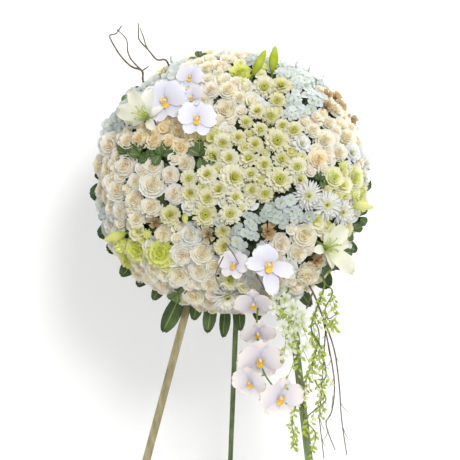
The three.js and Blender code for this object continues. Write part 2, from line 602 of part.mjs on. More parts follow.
// Joining and cutting
function solidOf(geometry) {
  const bare = geometry.clone();
  bare.deleteAttribute('normal');
  bare.deleteAttribute('uv');
  const merged = mergeVertices(bare, 1e-4);
  return new wasm.Manifold(new wasm.Mesh({
    numProp: 3,
    vertProperties: new Float32Array(merged.attributes.position.array),
    triVerts: new Uint32Array(merged.index.array),
  }));
}

function geometryOf(solid) {
  const mesh = solid.getMesh();
  const geometry = new THREE.BufferGeometry();
  geometry.setAttribute('position', new THREE.BufferAttribute(mesh.vertProperties, 3));
  geometry.setIndex(new THREE.BufferAttribute(mesh.triVerts, 1));
  return geometry;
}

function joined(geometries) {
  return geometryOf(geometries.map(solidOf).reduce((all, one) => all.add(one)));
}

function cut(geometry, ...tools) {
  return geometryOf(tools.map(solidOf).reduce((all, one) => all.subtract(one), solidOf(geometry)));
}

// A tapered round limb through points, with a radius at each, or a point where it is zero
function limb(points, radii, sides = 4) {
  const faces = new Faces();
  let outer = null;
  points.forEach((point, n) => {
    const ahead = points[Math.min(n + 1, points.length - 1)].clone()
      .sub(points[Math.max(n - 1, 0)]).normalize();
    const across1 = new THREE.Vector3(0, 1, 0).cross(ahead);
    if (across1.length() < 0.2) across1.set(1, 0, 0).cross(ahead);
    across1.normalize();
    const across2 = ahead.clone().cross(across1);
    const ring = [];
    for (let side = 0; side < sides; side += 1) {
      const turn = (side / sides) * 2 * Math.PI;
      const at = point.clone().addScaledVector(across1, radii[n] * Math.cos(turn))
        .addScaledVector(across2, radii[n] * Math.sin(turn));
      ring.push({ turn, at });
    }
    if (outer) faces.band(outer, ring);
    else ring.forEach((row, side) => faces.add(ring[(side + 1) % sides].at, row.at, point));
    outer = ring;
  });
  faces.band(outer, [{ turn: 0, at: points[points.length - 1] }]);
  return faces.geometry();
}

// A frame at a point that faces a way, turned in its own plane by roll degrees
function frameAt(origin, facing, roll = 0) {
  const normal = facing.clone().normalize();
  const side = new THREE.Vector3(0, 0, 1).cross(normal).normalize();
  const up = normal.clone().cross(side);
  const turn = THREE.MathUtils.degToRad(roll);
  const right = side.clone().multiplyScalar(Math.cos(turn)).addScaledVector(up, Math.sin(turn));
  return new THREE.Matrix4().makeBasis(right, normal.clone().cross(right), normal)
    .setPosition(origin);
}

// A lobed flat flower: rim points by turn, share of the radius and height, ribs and a lip in front
const ORCHID_HALF = [
  [90, 1, 1], [72, 0.82, 2], [60, 0.46, 3], [45, 0.88, 5], [14, 1.08, 4], [-16, 0.84, 4],
  [-28, 0.44, 3], [-50, 1, -1], [-73, 0.7, 0], [-90, 0.34, 2]];
const FLORET_LOBES = 5;

function mirrored(half) {
  const right = half.slice().reverse();
  const left = half.slice(1, -1).map(([turn, share, height]) => [180 - turn, share, height]);
  return [...right, ...left];
}

function lobed(place, radius, rim, {
  back = -6, front = 3, lip = 9, lipDown = 0.28, ribs = 6, inner = null,
} = {}) {
  const faces = new Faces();
  const ringAt = (rows, share, height) => rows.map(([degrees, reach, rise]) => {
    const turn = THREE.MathUtils.degToRad(degrees);
    const at = new THREE.Vector3(
      radius * reach * share * Math.cos(turn), radius * reach * share * Math.sin(turn), rise + height);
    return { turn, at: at.applyMatrix4(place) };
  });
  const outline = ringAt(rim, 1, 0);
  const even = Array.from({ length: ribs }, (_, n) => [(n / ribs) * 360 - 60, 0.24, 0]);
  const ring = ringAt(inner || even, 1, front);
  const middle = (x, y, z) => [{ turn: 0, at: new THREE.Vector3(x, y, z).applyMatrix4(place) }];
  faces.band(outline, ring);
  faces.band(ring, middle(0, -lipDown * radius, lip));
  const reversed = new Faces();
  reversed.band(outline, middle(0, 0, back));
  for (let n = 0; n < reversed.points.length; n += 9) {
    const [a, b, c] = [0, 3, 6].map((k) => new THREE.Vector3().fromArray(reversed.points, n + k));
    faces.add(a, c, b);
  }
  return faces.geometry();
}

function facingFrom(yaw, nod = 0, tilt = LEAN) {
  const sideways = THREE.MathUtils.degToRad(yaw);
  const raised = THREE.MathUtils.degToRad(tilt - nod);
  return new THREE.Vector3(Math.sin(sideways) * Math.cos(raised),
    -Math.cos(sideways) * Math.cos(raised), Math.sin(raised));
}

const siteOf = (name) => cells.find((cell) => cell.bunch === name);

function stemTop(name, lift) {
  const cell = siteOf(name);
  return overDome(cell.p, cell.q, lift);
}

// Flowers of the dome, each bunch in one piece
for (const [bunch, { colour }] of Object.entries(BUNCHES)) {
  addNode(bunch, bunchFaces(bunch).geometry(), colour, 0.75);
}

// Orchids that stand out on their own stems
for (const { name, radius, lift, roll, yaw } of ORCHIDS) {
  const place = frameAt(stemTop(name, lift * CM), facingFrom(yaw), roll);
  addNode(name, joined([
    bunchFaces(name).geometry(),
    limb([stemTop(name, -14), stemTop(name, lift * CM)], [4, 3]),
    lobed(place, radius * CM, mirrored(ORCHID_HALF)),
  ]), 0xe9e5f0, 0.6);
}

// Lilies with pointed tepals that curl back
for (const { name, lift, yaw, tips } of LILIES) {
  const place = frameAt(stemTop(name, lift * CM), facingFrom(yaw));
  const rim = [];
  const inner = [];
  tips.forEach(([x, z], n) => {
    const turn = THREE.MathUtils.radToDeg(Math.atan2(z, x));
    const [x2, z2] = tips[(n + 1) % tips.length];
    const next = THREE.MathUtils.radToDeg(Math.atan2(z2, x2));
    const wide = ((next - turn) % 360 + 360) % 360;
    const long = Math.hypot(x, z) / 10;
    const beside = Math.min(13, wide / 3);
    rim.push([turn - beside, 0.5 * long + 0.1, 10], [turn, long, 12], [turn + beside, 0.5 * long + 0.1, 10]);
    rim.push([turn + wide / 2, 0.22, 4]);
    inner.push([turn, 0.13, 0], [turn + wide / 2, 0.13, 0]);
  });
  addNode(name, joined([
    bunchFaces(name).geometry(),
    limb([stemTop(name, -14), stemTop(name, lift * CM)], [5, 4]),
    lobed(place, 100, rim, { back: -14, front: -1, lip: 14, lipDown: 0, inner }),
  ]), 0xf1efe6, 0.55);
}

// Buds on short stems
for (const { name, from, to, radius, out } of BUDS) {
  const foot = stemTop(name, -10);
  const depth = onFace(0, 0, out * CM).y - onFace(0, 0, 0).y;
  const tip = sightAt(to[0] * CM, to[1] * CM, stemTop(name, 0).y + depth);
  const along = (share) => foot.clone().lerp(tip, share);
  addNode(name, joined([
    bunchFaces(name).geometry(),
    limb([foot, along(0.3), along(0.5), along(0.8), tip],
      [4, 0.62 * radius * CM, radius * CM, 0.8 * radius * CM, 1.2], 6),
  ]), from[0] > 20 ? 0xf0e9c0 : 0xcdd98c, 0.6);
}

// Twigs and hanging sprays. A strand that starts nearer than this to the first forks off there.
const FORK = 14;

for (const { name, colour, strands, bead, floret, ahead = 0 } of SPRAYS) {
  const foot = stemTop(name, -12);
  const parts = [bunchFaces(name).geometry()];
  const main = [];
  strands.forEach(({ points, radii, out, beads = 0, florets = 0 }, n) => {
    const front = stemTop(name, 4).y - ahead;
    const depth = (share) => front - out * (n ? 0.4 * share + 0.6 * Math.sqrt(share) : Math.sqrt(share));
    const path = points.map(([x, z], k) => sightAt(x * CM, z * CM, depth(k / (points.length - 1))));
    if (n === 0) {
      path.unshift(foot);
      main.push(...path);
    } else {
      const near = main.reduce((best, at) => (
        at.distanceTo(path[0]) < best.distanceTo(path[0]) ? at : best));
      if (near.distanceTo(path[0]) < FORK) path.shift();
      path.unshift(near);
    }
    const last = path.length - 1;
    const radius = (k) => radii[0] + (radii[1] - radii[0]) * (k / last);
    parts.push(limb(path, path.map((_, k) => radius(k)), 3));
    const curve = new THREE.CurvePath();
    for (let k = 1; k <= last; k += 1) curve.add(new THREE.LineCurve3(path[k - 1], path[k]));
    for (let k = 0; k < beads; k += 1) {
      const at = curve.getPoint(0.14 + (0.86 * (k + 0.9)) / beads);
      const size = bead * CM;
      const side = (k % 2 ? 0.3 : -0.3) * size;
      parts.push(new THREE.OctahedronGeometry(1).scale(0.6 * size, 0.6 * size, 1.1 * size)
        .translate(at.x + side, at.y, at.z));
    }
    for (let k = 0; k < florets; k += 1) {
      const at = curve.getPoint(0.16 + (0.84 * (k + 0.9)) / florets);
      const rim = Array.from({ length: 2 * FLORET_LOBES }, (_, i) => (
        [i * (180 / FLORET_LOBES) + 37 * k, i % 2 ? 0.5 : 1, i % 2 ? 0 : 2]));
      parts.push(lobed(frameAt(at, facingFrom(k % 2 ? 26 : -22, 8)), floret * CM, rim,
        { back: -4, front: 2, lip: 5, lipDown: 0, ribs: 5 }));
    }
  });
  addNode(name, joined(parts), colour, 0.85);
}

// The cascade of orchids under the wreath
{
  const { name, colour, stem, blooms } = CASCADE;
  const front = stemTop(name, 14).y;
  const path = stem.map(([x, z]) => sightAt(x * CM, z * CM, front));
  path.unshift(stemTop(name, -12));
  const parts = [bunchFaces(name).geometry(), limb(path, path.map(() => 2.4), 4)];
  for (const { at, radius, nod, yaw } of blooms) {
    const middle = sightAt(at[0] * CM, at[1] * CM, front - 12);
    const near = path.slice(1).reduce((best, point) => (
      point.distanceTo(middle) < best.distanceTo(middle) ? point : best));
    parts.push(limb([near, middle], [2.2, 2.2], 4));
    parts.push(lobed(frameAt(middle, facingFrom(yaw, nod, 0)), radius * CM, mirrored(ORCHID_HALF)));
  }
  addNode(name, joined(parts), colour, 0.6);
}

// The collar: leaves whose stalks run together in a flat arc behind the rim of the flowers
const COLLAR_FRONT = -0.4;
const COLLAR_BACK = -4.4;

function collarArc(from, to) {
  const arc = new THREE.Shape();
  const first = THREE.MathUtils.degToRad(from);
  const last = THREE.MathUtils.degToRad(to);
  arc.absarc(0, 0, BOARD_RADIUS + 24, first, last, false);
  arc.absarc(0, 0, BOARD_RADIUS + 1, last, first, true);
  const band = new THREE.ExtrudeGeometry(arc, {
    depth: COLLAR_FRONT - COLLAR_BACK, bevelEnabled: false, curveSegments: 9 });
  return band.translate(0, 0, COLLAR_BACK).applyMatrix4(FACE);
}

function collarLeaf(degrees, reach, half) {
  const turn = THREE.MathUtils.degToRad(degrees);
  const at = (radius, side, w) => onFace(
    radius * Math.cos(turn) - side * Math.sin(turn), radius * Math.sin(turn) + side * Math.cos(turn), w);
  const root = BOARD_RADIUS + 10;
  const tip = DOME_RADIUS + reach;
  const widest = root + (tip - root) * 0.55;
  const nearTip = root + (tip - root) * 0.82;
  const sink = -Math.min(reach, 40) * 0.12;
  const ring = (radius, wide, w) => [
    { turn: 0, at: at(radius, wide, w - 1.4) },
    { turn: 1.6, at: at(radius, 0, w) },
    { turn: 3.2, at: at(radius, -wide, w - 1.4) },
    { turn: 4.8, at: at(radius, 0, w - 1.8) }];
  const faces = new Faces();
  const rings = [ring(root, 3, -1.2), ring(widest, half, -1.4), ring(nearTip, half * 0.62, sink - 1.6)];
  const [foot] = rings;
  const heel = at(root - 4, 0, -2.4);
  foot.forEach((row, n) => faces.add(heel, foot[(n + 1) % 4].at, row.at));
  for (let n = 1; n < rings.length; n += 1) {
    rings[n - 1].forEach((row, k) => {
      const next = rings[n - 1][(k + 1) % 4];
      faces.add(row.at, rings[n][(k + 1) % 4].at, rings[n][k].at);
      faces.add(row.at, next.at, rings[n][(k + 1) % 4].at);
    });
  }
  const end = at(tip, 0, sink * 1.6 - 2.4);
  rings[2].forEach((row, n) => faces.add(row.at, rings[2][(n + 1) % 4].at, end));
  return faces.geometry();
}

for (const [name, { from, to, leaves }] of Object.entries(COLLAR)) {
  addNode(name, joined([collarArc(from, to), ...leaves.map((leaf) => collarLeaf(...leaf))]),
    0x3c5632, 0.7);
}

// The foam under the flowers, faceted like their feet
{
  const faces = new Faces();
  const base = [];
  for (const cell of cells) {
    const top = cell.ring.map((id) => onFoam(...corners[id], GAP));
    for (let n = 1; n < top.length - 1; n += 1) faces.add(top[0], top[n], top[n + 1]);
    cell.ring.forEach((id, n) => {
      if (!neighbour(cell, n)) base.push([top[n], top[(n + 1) % top.length]]);
    });
  }
  const middle = onFace(0, 0, GAP);
  for (const [a, b] of base) faces.add(middle, b, a);
  addNode('floral_foam', faces.geometry(), 0x47603c, 0.95);
}

// Round bores and screws, made along Z and laid along w or X
const ROUND_SIDES = 8;

function rod(radius, from, to) {
  return new THREE.CylinderGeometry(radius, radius, to - from, ROUND_SIDES)
    .rotateX(Math.PI / 2).translate(0, 0, (from + to) / 2);
}

function alongFace(geometry, u, v) {
  return geometry.translate(u, v, 0).applyMatrix4(FACE);
}

const BORE = SCREW_RADIUS + 0.5;

function bore(u, v) {
  return alongFace(rod(BORE, LEG_BACK - 5, -1), u, v);
}

function screw(name, u, v, headAt, tipAt) {
  const solid = solidOf(alongFace(rod(2 * SCREW_RADIUS, headAt - 2.5, headAt), u, v))
    .add(solidOf(alongFace(rod(SCREW_RADIUS, headAt - 0.5, tipAt), u, v)));
  addNode(name, geometryOf(solid), 0x9a9a96, 0.4, 0.9);
}

// Straight laths between two places of the face
function lath(from, to, width, back) {
  const run = new THREE.Vector2(to[0] - from[0], to[1] - from[1]).normalize();
  const side = new THREE.Vector2(-run.y, run.x).multiplyScalar(width / 2);
  const outline = new THREE.Shape([
    new THREE.Vector2(from[0] - side.x, from[1] - side.y),
    new THREE.Vector2(to[0] - side.x, to[1] - side.y),
    new THREE.Vector2(to[0] + side.x, to[1] + side.y),
    new THREE.Vector2(from[0] + side.x, from[1] + side.y)]);
  return new THREE.ExtrudeGeometry(outline, { depth: LATH, bevelEnabled: false })
    .translate(0, 0, back).applyMatrix4(FACE);
}

const BELOW_FLOOR = new THREE.BoxGeometry(2000, 2000, 200).translate(0, 0, -100);
const SPARE = 40;
const legTopRise = riseAt(FRONT_LEG_TOP, LEG_MIDDLE);
const hingeRise = riseAt(HINGE_HEIGHT, LEG_BACK);
const lowerRise = riseAt(LOWER_RAIL_HEIGHT, LEG_MIDDLE);

function legX(footX, topX, rise) {
  return footX + ((topX - footX) * (rise - floorRise)) / (legTopRise - floorRise);
}

const FRONT_LEGS = [
  { name: 'front_leg_left', foot: LEFT_FOOT_X, top: LEFT_TOP_X, colour: 0xa08a62 },
  { name: 'front_leg_right', foot: RIGHT_FOOT_X, top: RIGHT_TOP_X, colour: 0x75784a },
];
const RAILS = [
  { name: 'header_rail', rise: hingeRise, over: 34 },
  { name: 'lower_rail', rise: lowerRise, over: 30 },
];
const BOARD_SCREWS = [
  { name: 'board_screw_top', u: 72, rise: hingeRise },
  { name: 'board_screw_lower', u: 24, rise: lowerRise },
];

for (const { name, foot, top, colour } of FRONT_LEGS) {
  const low = floorRise - SPARE;
  const solid = lath([legX(foot, top, low), low], [top, legTopRise], FRONT_LEG_WIDTH, LEG_BACK);
  const holes = RAILS.map(({ rise }) => bore(legX(foot, top, rise), rise));
  addNode(name, cut(solid, BELOW_FLOOR, ...holes), colour, 0.7);
}
for (const { name, rise, over } of RAILS) {
  const [left, right] = FRONT_LEGS.map(({ foot, top }) => legX(foot, top, rise));
  const solid = lath([left - over, rise], [right + over, rise], RAIL_WIDTH, RAIL_BACK);
  const holes = [bore(left, rise), bore(right, rise)];
  for (const row of BOARD_SCREWS) if (row.rise === rise) holes.push(bore(row.u, rise));
  addNode(name, cut(solid, ...holes), 0x8d7a52, 0.75);
  screw(`${name}_screw_left`, left, rise, LEG_BACK - GAP, RAIL_BACK + 9);
  screw(`${name}_screw_right`, right, rise, LEG_BACK - GAP, RAIL_BACK + 9);
}

// The backing board, screwed to the rails from behind
{
  const round = new THREE.CylinderGeometry(BOARD_RADIUS, BOARD_RADIUS, BOARD_THICKNESS, 40)
    .rotateX(Math.PI / 2).translate(0, 0, -BOARD_THICKNESS / 2).applyMatrix4(FACE);
  addNode('backing_board', cut(round, ...BOARD_SCREWS.map(({ u, rise }) => bore(u, rise))),
    0x5b543e, 0.85);
  for (const { name, u, rise } of BOARD_SCREWS) screw(name, u, rise, RAIL_BACK - GAP, -1.6);
}

// The folding rear leg, between two cheeks behind the header rail, on a bolt
const hingeBack = LEG_BACK + 0.1;
const HINGE = onFace(HINGE_X, riseAt(HINGE_HEIGHT, hingeBack), hingeBack);
const CHEEK = 8;
const LEG_PLAY = 1;
const CHEEK_DEPTH = 24;
const CHEEK_HEIGHT = 32;
const TOP_OVER_BOLT = 14;
const BOLT_CLEARANCE = 0.8;

function alongX(geometry) {
  return geometry.rotateY(Math.PI / 2).translate(HINGE.x, HINGE.y, HINGE.z);
}

{
  const foot = new THREE.Vector3(REAR_FOOT_X, HINGE.y
    + HINGE.z * Math.tan(THREE.MathUtils.degToRad(REAR_LEG_ANGLE)), 0);
  const up = HINGE.clone().sub(foot).normalize();
  const side = new THREE.Vector3(1, 0, 0).addScaledVector(up, -up.x).normalize();
  const place = new THREE.Matrix4().makeBasis(side, up, side.clone().cross(up)).setPosition(HINGE);
  const long = HINGE.distanceTo(foot) + SPARE;
  const outline = new THREE.Shape([
    new THREE.Vector2(-REAR_LEG_FOOT_WIDTH / 2, -long),
    new THREE.Vector2(REAR_LEG_FOOT_WIDTH / 2, -long),
    new THREE.Vector2(REAR_LEG_TOP_WIDTH / 2, TOP_OVER_BOLT),
    new THREE.Vector2(-REAR_LEG_TOP_WIDTH / 2, TOP_OVER_BOLT)]);
  const bar = new THREE.ExtrudeGeometry(outline, { depth: LATH, bevelEnabled: false })
    .translate(0, 0, -LATH / 2).applyMatrix4(place);
  const hole = alongX(rod(BOLT_RADIUS + BOLT_CLEARANCE, -30, 30));
  addNode('rear_leg', cut(bar, BELOW_FLOOR, hole), 0x6f7348, 0.7);
  const inner = REAR_LEG_TOP_WIDTH / 2 + LEG_PLAY;
  for (const [name, sign] of [['hinge_cheek_left', -1], ['hinge_cheek_right', 1]]) {
    const block = new THREE.BoxGeometry(CHEEK, CHEEK_HEIGHT, CHEEK_DEPTH)
      .translate(HINGE.x + sign * (inner + CHEEK / 2), riseAt(HINGE_HEIGHT, hingeBack),
        RAIL_BACK - GAP - CHEEK_DEPTH / 2)
      .applyMatrix4(FACE);
    const drill = alongX(rod(BOLT_RADIUS + BOLT_CLEARANCE / 2, -30, 30));
    addNode(name, cut(block, drill), 0x8d7a52, 0.75);
  }
  const outside = inner + CHEEK + GAP;
  const bolt = solidOf(alongX(rod(BOLT_RADIUS, -outside - 1, outside + 9)))
    .add(solidOf(alongX(rod(2 * BOLT_RADIUS, -outside - 4, -outside))));
  addNode('hinge_bolt', geometryOf(bolt), 0xa2a29e, 0.35, 0.9);
  const nut = cut(alongX(new THREE.CylinderGeometry(2 * BOLT_RADIUS, 2 * BOLT_RADIUS, 5, 6)
    .rotateX(Math.PI / 2).translate(0, 0, outside + 2.5)),
  alongX(rod(BOLT_RADIUS + BOLT_CLEARANCE / 2, 0, 40)));
  addNode('hinge_nut', nut, 0xa2a29e, 0.35, 0.9);
}

// The origin is under the middle of the whole object, on the floor
const bounds = new THREE.Box3().setFromObject(wreath);
wreath.position.set(-(bounds.min.x + bounds.max.x) / 2, -(bounds.min.y + bounds.max.y) / 2, 0);
wreath.updateMatrixWorld(true);

export default wreath;
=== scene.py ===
"""Looks of a funeral wreath on its folding easel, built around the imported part. Metres, +Z up."""

import math
import random

import bmesh
import bpy
from mathutils import Matrix, Vector


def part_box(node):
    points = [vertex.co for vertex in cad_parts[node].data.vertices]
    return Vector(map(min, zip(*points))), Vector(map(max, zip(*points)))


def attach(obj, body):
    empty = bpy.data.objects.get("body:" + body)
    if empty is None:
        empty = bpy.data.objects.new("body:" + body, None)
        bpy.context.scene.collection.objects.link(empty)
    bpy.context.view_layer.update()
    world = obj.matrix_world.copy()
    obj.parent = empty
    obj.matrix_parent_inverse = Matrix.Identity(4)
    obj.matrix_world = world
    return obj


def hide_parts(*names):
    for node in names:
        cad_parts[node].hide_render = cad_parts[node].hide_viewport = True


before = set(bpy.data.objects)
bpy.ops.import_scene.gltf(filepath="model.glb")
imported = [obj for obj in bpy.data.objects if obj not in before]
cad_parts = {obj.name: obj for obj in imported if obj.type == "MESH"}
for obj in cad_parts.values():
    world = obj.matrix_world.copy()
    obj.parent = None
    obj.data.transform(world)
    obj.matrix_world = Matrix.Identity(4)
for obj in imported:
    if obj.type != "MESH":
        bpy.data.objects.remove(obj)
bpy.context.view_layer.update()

WREATH = "wreath_and_front_legs"
CM = 0.01
MM = 0.001
GOLDEN = math.pi * (3 - math.sqrt(5))

# Driving sizes of the flower dome, as in the part's source
LEAN = math.radians(12)
DOME_RADIUS = 0.340
DOME_HEIGHT = 0.170
DOME_POWER = 2.6
FOAM_RADIUS = 0.262
FOAM_HEIGHT = 0.080
BOARD_THICKNESS = 0.006
BOARD_RADIUS = 0.266
FILL_RADIUS = 0.023
FILL_POINTS = 900

# The eye that the places of the flowers are seen from, and the upright plane they are measured in
EYE_X = -0.005
EYE_HEIGHT = 0.925
EYE_AWAY = 2.715
CENTRE_HEIGHT = 1.050
FACE_BEFORE_CENTRE = 0.08803

board_low, board_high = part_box("backing_board")
board_middle = (board_low + board_high) / 2
FACE_ORIGIN = board_middle + Vector((0, -math.cos(LEAN), math.sin(LEAN))) * (BOARD_THICKNESS / 2)
SIDE_SHIFT = FACE_ORIGIN.x
FACE_Y = FACE_ORIGIN.y - FACE_BEFORE_CENTRE


def on_face(u, v, w):
    """A place of the leaning flower face: u to the right, v up along it, w out of it."""
    return FACE_ORIGIN + Vector((
        u,
        v * math.sin(LEAN) - w * math.cos(LEAN),
        v * math.cos(LEAN) + w * math.sin(LEAN)))


def face_rise(height, w):
    """How far up the leaning face the given height is."""
    return (height - FACE_ORIGIN.z - w * math.sin(LEAN)) / math.cos(LEAN)


def dome_profile():
    """The outline of half the dome from its top to its rim: share out, share up, length so far."""
    rows = []
    length = 0
    for step in range(241):
        turn = step / 240 * math.pi / 2
        out = math.sin(turn) ** (2 / DOME_POWER)
        up = max(math.cos(turn), 0) ** (2 / DOME_POWER)
        if rows:
            length += math.hypot((out - rows[-1][0]) * DOME_RADIUS,
                                 (up - rows[-1][1]) * DOME_HEIGHT)
        rows.append((out, up, length))
    return rows


PROFILE = dome_profile()
ARC = PROFILE[-1][2]


def profile_at(column, value):
    """The row of the outline where one of its columns has the value."""
    for low, high in zip(PROFILE, PROFILE[1:]):
        if high[column] >= value:
            break
    span = high[column] - low[column]
    part = min(max((value - low[column]) / span, 0), 1) if span else 0
    return [a + (b - a) * part for a, b in zip(low, high)]


def over_dome(p, q, height=0.0):
    """A point over the dome, from its place (p, q) on the dome rolled out flat."""
    run = min(math.hypot(p, q), ARC)
    out, up, _ = profile_at(2, run)
    outer = Vector((out * DOME_RADIUS, up * DOME_HEIGHT))
    ray = (outer - Vector((out * FOAM_RADIUS, up * FOAM_HEIGHT))).normalized()
    radial = outer.x + height * ray.x
    along = radial / run if run > 1e-6 else 1
    return on_face(p * along, q * along, outer.y + height * ray.y)


def dome_normal(p, q):
    """The way the dome faces at a place."""
    step = 0.004
    run = math.hypot(p, q)
    if run > ARC - 2 * step:
        p, q = p * (ARC - 2 * step) / run, q * (ARC - 2 * step) / run
    across = over_dome(p + step, q) - over_dome(p - step, q)
    upward = over_dome(p, q + step) - over_dome(p, q - step)
    return across.cross(upward).normalized()


def sight_at(x, z, y):
    """Where the sight line through the seen place (x, z) is at the depth y."""
    reach = (y - FACE_Y + EYE_AWAY) / EYE_AWAY
    seen = CENTRE_HEIGHT + z - EYE_HEIGHT
    return Vector((EYE_X + SIDE_SHIFT + (x - EYE_X) * reach, y, EYE_HEIGHT + seen * reach))


def seen_on_dome(x, z):
    """Where the sight line through the seen place (x, z) meets the dome, rolled out flat."""
    w = DOME_HEIGHT / 2
    y = FACE_Y
    u, v = x, z
    for _ in range(40):
        at = sight_at(x, z, y)
        u = at.x - SIDE_SHIFT
        v = face_rise(at.z, w)
        out = min(math.hypot(u, v) / DOME_RADIUS, 0.985)
        w = 0.7 * w + 0.3 * DOME_HEIGHT * (1 - out ** DOME_POWER) ** (1 / DOME_POWER)
        y = 0.5 * y + 0.5 * on_face(u, v, w).y
    out = min(math.hypot(u, v) / DOME_RADIUS, 0.985)
    run = profile_at(0, out)[2]
    size = math.hypot(u, v) or 1
    return u / size * run, v / size * run


# ---- Modelling by hand ----


def clear_selection():
    bpy.ops.object.select_all(action="DESELECT")


def only(piece):
    clear_selection()
    piece.select_set(True)
    bpy.context.view_layer.objects.active = piece


def pick(piece, chosen):
    """In edit mode, selects the corners whose number passes the test."""
    mesh = bmesh.from_edit_mesh(piece.data)
    mesh.verts.ensure_lookup_table()
    for corner in mesh.verts:
        corner.select_set(chosen(corner.index))
    mesh.select_flush(True)
    bmesh.update_edit_mesh(piece.data)


def finish_edit(piece):
    bpy.ops.object.mode_set(mode="OBJECT")
    bpy.ops.object.shade_smooth()
    return piece


def make_petal(name, columns, rows, cup=0.0, wave=0.0, crease=0.0):
    """A petal or leaf that starts at the origin and runs along +Y, its upper side to +Z.

    Each row is (distance along, half width, height). Cup lifts the sides, wave ripples the
    free edge and crease sinks the midrib.
    """
    clear_selection()
    bpy.ops.mesh.primitive_grid_add(x_subdivisions=columns, y_subdivisions=len(rows) - 1, size=1)
    petal = bpy.context.object
    petal.name = name
    wide = columns + 1
    last = len(rows) - 1
    bpy.ops.object.mode_set(mode="EDIT")
    bpy.ops.mesh.select_mode(type="VERT")
    for row, (along, half, height) in enumerate(rows):
        pick(petal, lambda n: n // wide == row)
        bpy.ops.transform.resize(value=(2 * half, 1, 1))
        bpy.ops.transform.translate(value=(0, along - (row / last - 0.5), height))
    for column in range(wide):
        aside = abs(2 * column / columns - 1)
        for row, (along, half, height) in enumerate(rows):
            share = row / last
            lift = cup * aside ** 2 * math.sin(min(share * 1.3, 1) * math.pi / 2)
            lift += wave * share ** 2 * (1 if column % 2 else -1)
            lift -= crease * (1 - aside) * (1 - share * 0.6)
            drop = -0.10 * aside ** 2 * share if row == last else 0
            if abs(lift) + abs(drop) > 1e-6:
                pick(petal, lambda n: n == row * wide + column)
                bpy.ops.transform.translate(value=(0, drop, lift))
    return finish_edit(petal)


def set_value(piece, name, value):
    """Writes one number on every corner of a piece, for its material to read."""
    layer = piece.data.attributes.get(name) or piece.data.attributes.new(name, "FLOAT", "POINT")
    layer.data.foreach_set("value", [value] * len(piece.data.vertices))


def copy_of(master, place, **values):
    """A copy of a master with its own mesh, put at a place."""
    piece = master.copy()
    piece.data = master.data.copy()
    piece.data.transform(place)
    bpy.context.scene.collection.objects.link(piece)
    for name, value in values.items():
        set_value(piece, name, value)
    return piece


def joined(parts, name):
    """Several pieces made one."""
    clear_selection()
    for part in parts:
        part.select_set(True)
    bpy.context.view_layer.objects.active = parts[0]
    if len(parts) > 1:
        bpy.ops.object.join()
    parts[0].name = name
    parts[0].data.name = name
    return parts[0]


def whorl(petal, count, reach, wide, tilt, start=0.05, rise=0.0, spin=0.0, ring=0.0, loose=0.0):
    """A ring of petals round the Z axis. Tilt is 0 for petals laid flat and 90 for upright ones."""
    parts = []
    for n in range(count):
        turn = spin + (n + loose * chance.uniform(-0.5, 0.5)) / count * 2 * math.pi
        lean = math.radians(tilt + loose * chance.uniform(-14, 14))
        size = 1 + loose * chance.uniform(-0.12, 0.12)
        place = (
            Matrix.Rotation(turn, 4, "Z")
            @ Matrix.Translation((0, start, rise))
            @ Matrix.Rotation(lean, 4, "X")
            @ Matrix.Diagonal((wide * size, reach * size, reach * size, 1)))
        parts.append(copy_of(petal, place, ring=ring))
    return parts


def make_dome(name, material, radius, height, rise, ring, detail=2):
    """A small low dome, as in the middle of a daisy."""
    clear_selection()
    bpy.ops.mesh.primitive_ico_sphere_add(subdivisions=detail, radius=radius)
    middle = bpy.context.object
    middle.name = name
    bpy.ops.object.mode_set(mode="EDIT")
    bpy.ops.mesh.select_all(action="SELECT")
    bpy.ops.transform.resize(value=(1, 1, height / radius))
    bpy.ops.transform.translate(value=(0, 0, rise))
    bpy.ops.mesh.bisect(plane_co=(0, 0, rise - 0.3 * height), plane_no=(0, 0, 1), clear_inner=True)
    finish_edit(middle)
    middle.data.materials.append(material)
    set_value(middle, "ring", ring)
    return middle


def tube(name, points, radii, material, sides=3):
    """A round stem through points, thinning from the first radius to the last."""
    line = bpy.data.curves.new(name, "CURVE")
    line.dimensions = "3D"
    line.bevel_depth = 1.0
    line.bevel_resolution = sides
    line.use_fill_caps = True
    spline = line.splines.new("POLY")
    if len(points) > 2:
        points = rounded(points)
    spline.points.add(len(points) - 1)
    for n, point in enumerate(points):
        share = n / (len(points) - 1)
        spline.points[n].co = (*point, 1)
        spline.points[n].radius = radii[0] + (radii[1] - radii[0]) * share
    piece = bpy.data.objects.new(name, line)
    bpy.context.scene.collection.objects.link(piece)
    only(piece)
    bpy.ops.object.convert(target="MESH")
    piece = bpy.context.object
    piece.data.materials.clear()
    piece.data.materials.append(material)
    bpy.ops.object.shade_smooth()
    return piece


CURVE_STEPS = 4


def rounded(points):
    """More points on a smooth curve through the given ones."""
    rows = []
    for n in range(len(points) - 1):
        before = points[max(n - 1, 0)]
        start, end = points[n], points[n + 1]
        after = points[min(n + 2, len(points) - 1)]
        for k in range(CURVE_STEPS):
            t = k / CURVE_STEPS
            rows.append(0.5 * (
                2 * start + (end - before) * t + (2 * before - 5 * start + 4 * end - after) * t ** 2
                + (3 * start - before - 3 * end + after) * t ** 3))
    rows.append(points[-1])
    return rows


chance = random.Random(12)
masters = []


def store(piece):
    """Puts a master out of sight: it is removed when all is built."""
    masters.append(piece)
    return piece


# ---- Materials ----


def linear(value):
    return value / 12.92 if value <= 0.04045 else ((value + 0.055) / 1.055) ** 2.4


def colour(code):
    """A colour from its sRGB code."""
    return tuple(linear((code >> shift & 255) / 255) for shift in (16, 8, 0)) + (1,)


